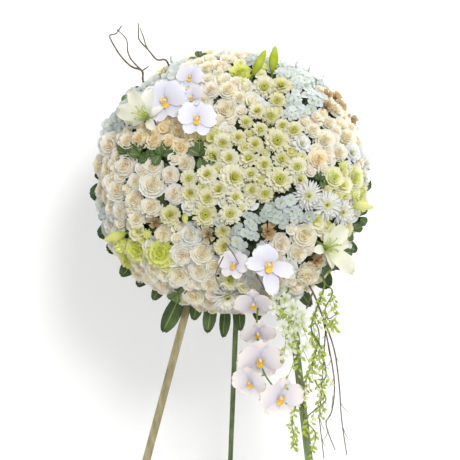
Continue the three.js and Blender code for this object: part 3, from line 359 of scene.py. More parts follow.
def new_material(name, roughness, **sockets):
    material = bpy.data.materials.new(name)
    material.use_nodes = True
    shader = material.node_tree.nodes["Principled BSDF"]
    shader.inputs["Roughness"].default_value = roughness
    for socket, value in sockets.items():
        shader.inputs[socket.replace("_", " ")].default_value = value
    return material, shader


def add_node(material, kind, inputs=(), **settings):
    node = material.node_tree.nodes.new(kind)
    for name, value in settings.items():
        setattr(node, name, value)
    for socket, value in dict(inputs).items():
        if isinstance(value, bpy.types.NodeSocket):
            material.node_tree.links.new(value, node.inputs[socket])
        else:
            node.inputs[socket].default_value = value
    return node


def calc(material, operation, *values):
    """A number worked out from others, which may be sockets."""
    return add_node(material, "ShaderNodeMath", dict(enumerate(values)),
                    operation=operation).outputs[0]


def grey(level):
    return (level, level, level, 1)


def mix(material, factor, first, second):
    """A colour between two, by a factor. Each may be a colour or a socket."""
    return add_node(material, "ShaderNodeMix", {0: factor, 6: first, 7: second},
                    data_type="RGBA").outputs[2]


def read_value(material, name):
    return add_node(material, "ShaderNodeAttribute", attribute_name=name).outputs["Fac"]


def ramp(material, factor, stops):
    node = add_node(material, "ShaderNodeValToRGB", {"Fac": factor})
    first, last = node.color_ramp.elements
    first.position, first.color = stops[0][0], stops[0][1]
    last.position, last.color = stops[-1][0], stops[-1][1]
    for place, value in stops[1:-1]:
        node.color_ramp.elements.new(place).color = value
    return node.outputs["Color"]


def noise(material, scale, detail=3.0):
    place = add_node(material, "ShaderNodeTexCoord").outputs["Object"]
    return add_node(material, "ShaderNodeTexNoise",
                    {"Vector": place, "Scale": scale, "Detail": detail}).outputs["Fac"]


def add_bump(material, shader, height, strength, distance):
    bump = add_node(material, "ShaderNodeBump",
                    {"Height": height, "Strength": strength, "Distance": distance})
    material.node_tree.links.new(bump.outputs["Normal"], shader.inputs["Normal"])


def set_base(material, shader, tone):
    material.node_tree.links.new(tone, shader.inputs["Base Color"])


def blend_shaders(material, share, first, second):
    """The surface is a share of the second shader and the rest of the first."""
    both = add_node(material, "ShaderNodeMixShader", {
        0: share, 1: first.outputs["BSDF"], 2: second.outputs["BSDF"]})
    material.node_tree.links.new(
        both.outputs["Shader"], material.node_tree.nodes["Material Output"].inputs["Surface"])


def petal_material(name, foot, blade, other, heart, edge=None, veins=12, roughness=0.55, glow=0.35,
                   runs=0.5):
    """Fresh petals: a foot colour that runs out along the petal, a blade colour that differs a
    little from bloom to bloom, a heart colour for the inner rings, and fine veins."""
    material, shader = new_material(name, roughness, Specular_IOR_Level=0.3)
    uv = add_node(material, "ShaderNodeUVMap", uv_map="UVMap").outputs["UV"]
    parts = add_node(material, "ShaderNodeSeparateXYZ", {"Vector": uv})
    along = parts.outputs["Y"]
    # Blooms run from the blade colour to the other by their tint: a real tone for most petals,
    # painted shade for the hydrangea florets
    blades = mix(material, read_value(material, "tint"), colour(blade), colour(other))
    cloud = ramp(material, noise(material, 55), [(0.35, grey(0)), (0.75, grey(0.35))])
    blades = mix(material, cloud, blades, colour(other))
    if edge is not None:
        rim = ramp(material, along, [(0.72, (0, 0, 0, 1)), (1.0, (0.8,) * 3 + (1,))])
        blades = mix(material, rim, blades, colour(edge))
    low = ramp(material, along, [(0.0, grey(1)), (runs, grey(0))])
    footed = mix(material, low, blades, colour(foot))
    near = ramp(material, read_value(material, "ring"), [(0.0, grey(0)), (1.0, grey(1))])
    final = mix(material, near, footed, colour(heart))
    set_base(material, shader, final)
    wave = calc(material, "MULTIPLY", parts.outputs["X"], veins * 2 * math.pi)
    add_bump(material, shader, calc(material, "SINE", wave), 0.2, 0.0003)
    # Thin petals let a share of the light through to their other side
    through = add_node(material, "ShaderNodeBsdfTranslucent", {"Color": final})
    blend_shaders(material, glow, shader, through)
    return material


LEAF_RIBS = 7
RIB_SLANT = 1.1


def leaf_material(name, dark, light, rib):
    """Waxy leaves with a pale midrib and side veins that leave it at a slant."""
    material, shader = new_material(name, 0.42, Specular_IOR_Level=0.45)
    uv = add_node(material, "ShaderNodeUVMap", uv_map="UVMap").outputs["UV"]
    parts = add_node(material, "ShaderNodeSeparateXYZ", {"Vector": uv})
    aside = calc(material, "ABSOLUTE", calc(material, "SUBTRACT", parts.outputs["X"], 0.5))
    cloud = ramp(material, noise(material, 30), [(0.3, colour(dark)), (0.75, colour(light))])
    tinted = mix(material, read_value(material, "tint"), cloud, colour(light))
    middle = ramp(material, aside, [(0.015, grey(0.8)), (0.05, grey(0))])
    ribbed = mix(material, middle, tinted, colour(rib))
    slant = calc(material, "MULTIPLY_ADD", aside, -RIB_SLANT, parts.outputs["Y"])
    line = calc(material, "SINE", calc(material, "MULTIPLY", slant, LEAF_RIBS * 2 * math.pi))
    vein = ramp(material, line, [(0.86, grey(0)), (1.0, grey(0.35))])
    final = mix(material, vein, ribbed, colour(rib))
    set_base(material, shader, final)
    add_bump(material, shader, line, 0.25, 0.0008)
    return material


def mottled_material(name, dark, light, scale, roughness, bump=0.0, distance=0.001, **sockets):
    """One finish with clouds of two colours, and a fine bump."""
    material, shader = new_material(name, roughness, **sockets)
    cloud = noise(material, scale)
    final = ramp(material, cloud, [(0.32, colour(dark)), (0.7, colour(light))])
    set_base(material, shader, final)
    if bump:
        add_bump(material, shader, noise(material, scale * 4, 6.0), bump, distance)
    return material


def wood_material(name, dark, light, lean_x, lean_y):
    """Sawn lath: grain that runs up along a leg that leans by these angles."""
    material, shader = new_material(name, 0.6, Specular_IOR_Level=0.3)
    place = add_node(material, "ShaderNodeTexCoord").outputs["Object"]
    turned = add_node(material, "ShaderNodeMapping", {
        "Vector": place, "Rotation": (lean_x, lean_y, 0), "Scale": (1, 1, 0.035)})
    grain = add_node(material, "ShaderNodeTexNoise", {
        "Vector": turned.outputs["Vector"], "Scale": 260.0, "Detail": 5.0, "Roughness": 0.65})
    broad = add_node(material, "ShaderNodeTexNoise", {
        "Vector": turned.outputs["Vector"], "Scale": 60.0, "Detail": 2.0})
    blend = calc(material, "MULTIPLY_ADD", grain.outputs["Fac"], 0.6, broad.outputs["Fac"])
    final = ramp(material, blend, [(0.55, colour(dark)), (1.0, colour(light))])
    set_base(material, shader, final)
    add_bump(material, shader, grain.outputs["Fac"], 0.4, 0.0006)
    return material


ivory_rose = petal_material("ivory rose petals", 0xe8e2ba, 0xf4f0de, 0xf0f0ea, 0xf1e4be,
                            edge=0xf9f8f0)
blush_rose = petal_material("blush white rose petals", 0xe9dfc2, 0xf5f1e6, 0xefefec, 0xf1e3c4,
                            edge=0xfaf9f4)
lime_rose = petal_material("lime green rose petals", 0xccd54e, 0xe6e886, 0xefefbc, 0xd2dc50,
                           edge=0xeeefb4)
peach_ruffle = petal_material("peach carnation petals", 0xf0dda4, 0xf8edd0, 0xf6f0de, 0xf2dca0,
                              edge=0xfcf5e4)
pale_lime = petal_material("pale lime rose petals", 0xd8de82, 0xeeefb8, 0xf2f1d2, 0xdce278,
                           edge=0xf4f4d8)
cream_mum = petal_material("cream chrysanthemum petals", 0xcac762, 0xf4f2e4, 0xe7e4c2, 0xdcd96c,
                           veins=3, runs=0.44)
# The second colour of the florets, a darker blue grey, is painted shade; bunches in shade take more
# of it
cool_floret = petal_material("cool white hydrangea petals", 0xc8d2ae, 0xe4e9ea, 0xbcc5c4, 0xd8dec8,
                             veins=4)
dried_petal = petal_material("dried bloom petals", 0xa8824a, 0xdab482, 0xc2b696, 0xb09458,
                             edge=0xeedfbe, roughness=0.85)
stock_petal = petal_material("white stock petals", 0xe2e5c2, 0xf2f2ee, 0xe8ecf2, 0xefe8d0,
                             edge=0xf8f7f4)
orchid_petal = petal_material("moth orchid petals", 0xcac9de, 0xe3e6f0, 0xf3e9e2, 0xdedfe9,
                              veins=16, roughness=0.5, glow=0.2, runs=0.7)
green_white = petal_material("green white dendrobium petals", 0xc6d296, 0xf5f5ef, 0xe9edda,
                             0xdbe4ae, veins=4)
lily_petal = petal_material("lily tepals", 0xa2b83c, 0xf4f4ee, 0xe2e1c4, 0xc8d67c, veins=9,
                            roughness=0.45, runs=0.38)
orchid_lip = mottled_material("orchid lip", 0xd99a14, 0xf7d23a, 240, 0.5)
lily_bud_skin = petal_material("lily bud skin", 0x86a41c, 0xb8c626, 0xe8e4a4, 0xc4d050, veins=9,
                               roughness=0.4)
eye_core = mottled_material("dark hearts of the green middles", 0x3f4a16, 0x6d7424, 900, 0.85)
daisy_eye = mottled_material("green flower middles", 0x77881f, 0xc9c848, 900, 0.8, 0.6, 0.0012)
green_leaf = leaf_material("salal leaves", 0x223412, 0x465e26, 0x82964e)
fresh_leaf = leaf_material("fresh green leaves", 0x43702a, 0x739544, 0x9cb468)
# Near-black green: the real green of stems and leaves darkened with painted shade for the gaps
# between blooms
undergrowth_with_painted_shade = mottled_material("stems and leaves under the flowers", 0x1d2c15, 0x55663a, 60, 0.85,
                               0.7, 0.003)
stem_green = mottled_material("green stems", 0x4f652a, 0x7c9140, 90, 0.6)
lime_bud = mottled_material("lime green buds", 0x8a9e2c, 0xbcc55c, 160, 0.6)
twig_bark = mottled_material("thin dry bark", 0x453a2c, 0x85755c, 180, 0.85, 0.7, 0.0008)
foam_green = mottled_material("wet floral foam", 0x35502f, 0x4d6c40, 420, 0.95, 0.8, 0.0012)
hardboard = mottled_material("raw hardboard", 0x4b4331, 0x6b6047, 120, 0.85, 0.4, 0.0005)
tan_lath = wood_material("tan stained lath", 0x6c6444, 0xa69c78, 0.12, -0.15)
olive_lath = wood_material("olive stained lath", 0x525f3c, 0x8a996c, 0.12, 0.08)
rear_lath = wood_material("olive stained rear lath", 0x444f30, 0x6f804e, -0.27, -0.03)
rail_lath = wood_material("tan rails", 0x7a6640, 0xa68f62, 1.5708, 1.5708)
zinc = mottled_material("zinc plated steel", 0x8d8f90, 0xb5b7b6, 200, 0.38, Metallic=1.0)


# ---- Petals and leaves, each modelled once, one unit long ----

rose_petal = store(make_petal("rose petal", 4, [
    (0, 0.40, 0), (0.3, 0.56, -0.05), (0.62, 0.64, -0.04), (0.88, 0.58, -0.03),
    (1.0, 0.40, -0.09)], cup=0.26))
heart_petal = store(make_petal("inner rose petal", 4, [
    (0, 0.40, 0), (0.45, 0.60, -0.05), (0.85, 0.56, -0.02), (1.0, 0.42, -0.04)], cup=0.5))
daisy_petal = store(make_petal("daisy petal", 2, [
    (0, 0.05, 0), (0.45, 0.11, 0.04), (0.85, 0.125, 0.02), (1.0, 0.06, 0.03)], cup=0.10))
thread_petal = store(make_petal("spider mum petal", 2, [
    (0, 0.03, 0), (0.4, 0.05, 0.05), (0.8, 0.06, 0.02), (1.0, 0.03, 0.08)], cup=0.05))
ruffled_petal = store(make_petal("ruffled petal", 6, [
    (0, 0.10, 0), (0.4, 0.34, 0.02), (0.78, 0.56, 0.0), (1.0, 0.62, 0.02)], cup=0.06, wave=0.15))
tiny_petal = store(make_petal("tiny petal", 2, [
    (0, 0.06, 0), (0.6, 0.15, 0.02), (1.0, 0.08, -0.02)], cup=0.08))
round_petal = store(make_petal("round petal", 2, [
    (0, 0.10, 0), (0.4, 0.40, 0.02), (0.8, 0.42, -0.02), (1.0, 0.20, -0.06)], cup=0.05))
broad_leaf = store(make_petal("broad leaf", 4, [
    (0, 0.02, 0), (0.14, 0.07, 0.01), (0.3, 0.17, 0.025), (0.46, 0.25, 0.02), (0.6, 0.30, 0.01),
    (0.72, 0.30, -0.01), (0.82, 0.26, -0.03), (0.9, 0.19, -0.05), (0.96, 0.11, -0.065),
    (1.0, 0.015, -0.08)], cup=0.05, crease=0.03))
orchid_wing = store(make_petal("orchid side petal", 8, [
    (0, 0.07, 0), (0.12, 0.28, 0.01), (0.32, 0.55, 0.03), (0.58, 0.66, 0.04), (0.82, 0.56, 0.03),
    (0.95, 0.34, 0.01), (1.0, 0.14, -0.01)], cup=0.05))
orchid_sepal = store(make_petal("orchid sepal", 6, [
    (0, 0.08, 0), (0.2, 0.23, 0.01), (0.5, 0.34, 0.02), (0.8, 0.27, 0.01), (0.95, 0.13, -0.01),
    (1.0, 0.04, -0.02)], cup=0.05))
lily_tepal = store(make_petal("lily tepal", 6, [
    (0, 0.05, 0), (0.15, 0.10, 0.07), (0.35, 0.17, 0.13), (0.6, 0.19, 0.13), (0.82, 0.13, 0.06),
    (0.94, 0.06, -0.01), (1.0, 0.01, -0.06)], cup=0.05, crease=0.03))


def with_material(master, material):
    """The same petal in another finish."""
    petal = copy_of(master, Matrix.Identity(4))
    petal.data.materials.clear()
    petal.data.materials.append(material)
    return store(petal)


# ---- Blooms, each modelled once, one unit in radius, facing +Z ----

SPIKE_FLORETS = 9

# A bud's width at shares of its length, and the turn from one seam to the next
BUD_SHAPE = {0.1: 0.85, 0.25: 0.88, 0.5: 1.0, 0.7: 0.94, 0.85: 0.8, 0.97: 0.55}
BUD_SEAM_TURN = 2 * math.pi / 3

# Rings of petals: count, reach, width, tilt, start, rise, spin, heart share and looseness
ROSE_HEART = [
    (4, 0.30, 0.60, 52, 0.24, -0.11, 0.9, 0.35, 0.35),
    (3, 0.24, 0.48, 60, 0.14, -0.06, 0.3, 0.6, 0.3),
    (3, 0.20, 0.26, 72, 0.05, -0.02, 1.2, 0.9, 0.2)]
ROSEBUD_RINGS = [
    (5, 0.62, 3.6, 18, 0.36, -0.3, 0, 0, 0.6), (4, 0.42, 3.0, 48, 0.22, -0.14, 0.5, 0.3, 0.5),
    (3, 0.3, 1.6, 66, 0.08, -0.04, 0.2, 0.9, 0.4)]
RUFFLE_RINGS = [
    (8, 0.58, 0.80, 8, 0.42, -0.34, 0, 0, 0.9), (7, 0.50, 0.66, 34, 0.34, -0.26, 0.4, 0.15, 0.9),
    (6, 0.42, 0.54, 56, 0.22, -0.14, 0.2, 0.4, 0.9),
    (4, 0.34, 0.40, 74, 0.08, -0.04, 0.7, 0.8, 0.8)]
DRIED_RINGS = [
    (6, 0.80, 0.62, 16, 0.16, -0.30, 0, 0, 1.8), (5, 0.66, 0.52, 42, 0.10, -0.24, 0.5, 0.1, 1.8),
    (4, 0.46, 0.42, 66, 0.05, -0.14, 0.2, 0.45, 1.8)]
BUTTON_RINGS = [
    (count, 0.42, 0.3, tilt - 10, 0.5 * math.cos(math.radians(tilt)),
     -0.35 + 0.5 * math.sin(math.radians(tilt)), 0, 0.3, 0.4)
    for tilt, count in ((20, 9), (48, 8), (72, 5))]
LEAF_RINGS = [(3, 1.3, 1.25, 8, 0.0, -0.3, 0, 0, 0.9), (2, 1.0, 1.1, 36, -0.1, -0.3, 0.8, 0, 0.9)]

# Solid bodies under the petals: radius, height, rise, heart share and how finely it is divided
ROSEBUD_BODY = (0.6, 0.4, -0.3, 0.5, 1)
RUFFLE_BODY = (0.68, 0.4, -0.36, 0.5)
BUTTON_BODY = (0.62, 0.55, -0.35, 0.0)


def make_ringed(name, material, petal, rings, body=None):
    """A bloom of rings of one petal, round a solid body where it has one."""
    blade = with_material(petal, material)
    parts = [make_dome(f"{name} body", material, *body)] if body else []
    for ring in rings:
        parts += whorl(blade, *ring)
    return store(joined(parts, name))


def make_small_rose(name, material):
    """A small rose of a spray, half open."""
    return make_ringed(name, material, tiny_petal, ROSEBUD_RINGS, ROSEBUD_BODY)


def make_ruffled(name, material):
    """A carnation or any frilled bloom."""
    return make_ringed(name, material, ruffled_petal, RUFFLE_RINGS, RUFFLE_BODY)


def make_rose(name, material, open_up):
    """A garden rose: rings of petals that stand up more towards a tight spiral heart."""
    outer = with_material(rose_petal, material)
    inner = with_material(heart_petal, material)
    flat = 12 * open_up
    parts = [make_dome(f"{name} body", material, 0.66, 0.34, -0.34, 0.45)]
    parts += whorl(outer, 5, 0.52, 1.0, 14 - flat, 0.48, -0.36, 0, 0, 0.5)
    parts += whorl(outer, 5, 0.46, 0.85, 32 - flat, 0.40, -0.28, 0.6, 0.04, 0.45)
    parts += whorl(outer, 5, 0.38, 0.66, 44 - 0.5 * flat, 0.33, -0.19, 0.1, 0.12, 0.4)
    for ring in ROSE_HEART:
        parts += whorl(inner, *ring)
    return store(joined(parts, name))


def make_daisy(name, material, rings, eye, petal=None, detail=2):
    """A chrysanthemum: rings of narrow petals round a green middle."""
    blade = with_material(petal or daisy_petal, material)
    parts = []
    for count, reach, wide, tilt, start, rise, ring in rings:
        spin = chance.uniform(0, 1)
        parts += whorl(blade, count, reach, wide, tilt, start, rise, spin, ring, 0.5)
    parts.append(make_dome(f"{name} middle", daisy_eye, eye, 0.6 * eye, -0.12, 0.0, detail))
    if detail > 1:
        parts.append(make_dome(f"{name} core", eye_core, 0.4 * eye, 0.25 * eye,
                               0.45 * eye - 0.12, 0.0, 1))
    return store(joined(parts, name))


def make_floret(name, material, lobes, broad=1.15):
    """One small flat flower with a raised middle."""
    blade = with_material(round_petal, material)
    parts = whorl(blade, lobes, 0.95, broad, 14, 0.02, 0, loose=0.35)
    parts.append(make_dome(f"{name} middle", lime_bud, 0.14, 0.12, 0.03, 0.0, detail=1))
    return store(joined(parts, name))


def make_cluster(name, floret, count, size):
    """A head of small flowers that look all ways over a low dome."""
    parts = []
    for n in range(count):
        run = math.sqrt((n + 0.3) / count) * 0.72
        turn = n * GOLDEN
        place = (
            Matrix.Rotation(turn, 4, "Z") @ Matrix.Translation((0, run, -0.28 * run * run))
            @ Matrix.Rotation(-run * 0.75 + chance.uniform(-0.2, 0.2), 4, "X")
            @ Matrix.Rotation(chance.uniform(0, 3), 4, "Z") @ Matrix.Scale(size, 4))
        parts.append(copy_of(floret, place))
    return store(joined(parts, name))


def make_spike(name, floret):
    """A slim spike of small flowers along +Z, three units tall."""
    parts = []
    for n in range(SPIKE_FLORETS):
        share = n / SPIKE_FLORETS
        lean = Matrix.Rotation(n * GOLDEN, 4, "Z") @ Matrix.Rotation(1.1 - 0.5 * share, 4, "X")
        place = Matrix.Translation((0, 0, 0.3 + 2.5 * share)) @ lean
        parts.append(copy_of(floret, place @ Matrix.Translation((0, 0, 0.12))
                             @ Matrix.Scale(0.55 - 0.3 * share, 4)))
    return store(joined(parts, name))


def make_bud(name, material):
    """A long closed bud along +Z from the origin, one unit long and one unit in widest radius."""
    clear_selection()
    bpy.ops.mesh.primitive_uv_sphere_add(segments=12, ring_count=10, radius=1)
    bud = bpy.context.object
    bud.name = name
    bpy.ops.object.mode_set(mode="EDIT")
    bpy.ops.mesh.select_all(action="SELECT")
    bpy.ops.transform.translate(value=(0, 0, 1))
    bpy.ops.transform.resize(value=(1, 1, 0.5), center_override=(0, 0, 0))
    mesh = bmesh.from_edit_mesh(bud.data)
    for low, width in BUD_SHAPE.items():
        for corner in mesh.verts:
            corner.select_set(abs(corner.co.z - low) < 0.06)
        mesh.select_flush(True)
        bpy.ops.transform.resize(value=(width, width, 1), center_override=(0, 0, low))
    for corner in mesh.verts:
        turn = math.atan2(corner.co.y, corner.co.x) % BUD_SEAM_TURN
        corner.select_set(turn < 0.1 or turn > BUD_SEAM_TURN - 0.1)
    mesh.select_flush(True)
    bpy.ops.transform.resize(value=(0.84, 0.84, 1), center_override=(0, 0, 0))
    finish_edit(bud)
    bud.data.materials.append(material)
    return store(bud)


# Rings for make_daisy: count, reach, width, tilt, start, rise and heart share
MUM_RINGS = [
    (17, 0.80, 1.15, 2, 0.20, -0.26, 0.0), (16, 0.74, 1.1, 20, 0.18, -0.26, 0.03),
    (14, 0.60, 1.0, 40, 0.18, -0.24, 0.15), (11, 0.42, 0.9, 60, 0.18, -0.22, 0.5)]
FULL_RINGS = [
    (16, 0.80, 1.3, -4, 0.20, -0.26, 0.0), (15, 0.74, 1.2, 14, 0.18, -0.26, 0.0),
    (13, 0.62, 1.1, 32, 0.14, -0.24, 0.15), (10, 0.44, 1.0, 50, 0.10, -0.20, 0.55),
    (7, 0.28, 1.2, 62, 0.06, -0.10, 1.0)]
SMALL_RINGS = [(12, 0.80, 1.5, 8, 0.18, -0.26, 0.0), (9, 0.62, 1.4, 34, 0.16, -0.24, 0.12)]
PLAIN_RINGS = [(11, 0.80, 1.6, 4, 0.14, -0.22, 0.0), (9, 0.66, 1.5, 28, 0.1, -0.22, 0.05),
               (7, 0.5, 1.3, 56, 0.08, -0.2, 0.2)]
THREAD_RINGS = [
    (26, 0.88, 1.0, 0, 0.12, -0.25, 0.0), (24, 0.84, 1.0, 16, 0.11, -0.22, 0.05),
    (20, 0.72, 1.0, 34, 0.10, -0.18, 0.2), (14, 0.50, 1.0, 54, 0.10, -0.14, 0.5)]
TINY_RINGS = [(7, 0.85, 3.2, 16, 0.12, -0.2, 0.0), (4, 0.6, 2.8, 48, 0.08, -0.16, 0.5)]

hydrangea_floret = make_floret("hydrangea floret", cool_floret, 4)
star_floret = make_floret("star floret", green_white, 5, 0.55)

BLOOMS = {
    "rose": [make_rose("cupped rose", ivory_rose, 0.0), make_rose("open rose", ivory_rose, 1.0),
             make_rose("half open rose", ivory_rose, 0.4),
             make_rose("blush rose", blush_rose, 0.6)],
    "lime rose": [make_rose("lime rose", lime_rose, 0.2)],
    "pale lime rose": [make_rose("pale lime rose", pale_lime, 0.3)],
    "peach rose": [make_rose("peach rose", peach_ruffle, 0.3)],
    "white rose": [make_rose("white rose", stock_petal, 0.5)],
    "mum": [make_daisy("chrysanthemum", cream_mum, MUM_RINGS, 0.26),
            make_daisy("full chrysanthemum", cream_mum, FULL_RINGS, 0.14, detail=1)],
    "small mum": [make_daisy("small chrysanthemum", cream_mum, SMALL_RINGS, 0.24, detail=1),
                  make_daisy("small double daisy", stock_petal, PLAIN_RINGS, 0.1, detail=1)],
    "tiny blossom": [make_daisy("tiny blossom", cream_mum, TINY_RINGS, 0.16, tiny_petal, 1),
                     make_small_rose("small cream rose", cream_mum),
                     make_small_rose("small white rose", stock_petal)],
    "tiny ivory": [make_small_rose("small ivory rose", ivory_rose),
                   make_small_rose("small blush rose", blush_rose)],
    "tiny floret": [make_daisy("tiny cool blossom", cool_floret, TINY_RINGS, 0.12, tiny_petal, 1)],
    "tiny peach": [make_small_rose("small peach rose", peach_ruffle)],
    "spider": [make_daisy("spider mum", stock_petal, THREAD_RINGS, 0.2, thread_petal)],
    "peach ruffle": [make_ruffled("peach carnation", peach_ruffle)],
    "dried ruffle": [make_ringed("dried bloom", dried_petal, ruffled_petal, DRIED_RINGS)],
    "stock ruffle": [make_ruffled("white stock", stock_petal)],
    "lime ruffle": [make_ruffled("lime carnation", lime_rose)],
    "cream ruffle": [make_ruffled("cream garden rose", ivory_rose)],
    "spike": [make_spike("slim flower spike", hydrangea_floret)],
    "floret": [make_cluster("hydrangea head", hydrangea_floret, 6, 0.5)],
    "button": [make_ringed("green button", lime_rose, round_petal, BUTTON_RINGS, BUTTON_BODY)],
    "leaf": [make_ringed("leaf tuft", green_leaf, broad_leaf, LEAF_RINGS)],
    "fresh leaf": [make_ringed("fresh leaf tuft", fresh_leaf, broad_leaf, LEAF_RINGS)],
    "bud": [make_bud("closed bud", lily_bud_skin)],
}
lily_bud = BLOOMS["bud"][0]

# How far blooms stand over the dome, and how wide they spread, in shares of their radius
LIFT = {
    "rose": -0.15, "lime rose": -0.15, "pale lime rose": -0.1, "white rose": -0.1, "mum": 0.05,
    "small mum": 0.0, "spider": 0.1, "button": 0.15, "leaf": -0.05, "fresh leaf": 0.0,
    "floret": 0.05, "tiny blossom": -0.35, "tiny ivory": -0.35, "tiny floret": -0.3,
    "tiny peach": -0.3}
SPREAD = {
    "rose": 1.28, "lime rose": 1.2, "pale lime rose": 1.2, "white rose": 1.25, "peach rose": 1.2,
    "mum": 1.34, "small mum": 1.24, "spider": 1.4, "leaf": 1.5, "fresh leaf": 1.4, "floret": 1.6,
    "button": 1.2, "dried ruffle": 1.1, "tiny blossom": 1.6, "tiny ivory": 1.6, "tiny floret": 1.8,
    "tiny peach": 1.6}

# What else grows among the fill of a bunch, and how often
AMONG = {"rose": (("small mum", 0.3), ("stock ruffle", 0.12)),
         "small mum": (("rose", 0.12), ("floret", 0.10), ("stock ruffle", 0.14), ("leaf", 0.02)),
         "floret": (("stock ruffle", 0.2), ("small mum", 0.1)),
         "fresh leaf": (("pale lime rose", 0.35), ("small mum", 0.25), ("button", 0.1)),
         "button": (("lime ruffle", 0.3), ("rose", 0.2))}

# What fills the smallest bare places of a bunch, by what fills its larger ones
TINY = {"rose": "tiny ivory", "small mum": "tiny blossom", "floret": "tiny floret",
        "peach ruffle": "tiny peach", "dried ruffle": "tiny ivory", "button": "tiny blossom",
        "fresh leaf": "tiny blossom", "leaf": "tiny blossom"}
TINY_SIZES = ((0.0165, 1600), (0.0105, 3600))


# ---- The flowers of the dome ----

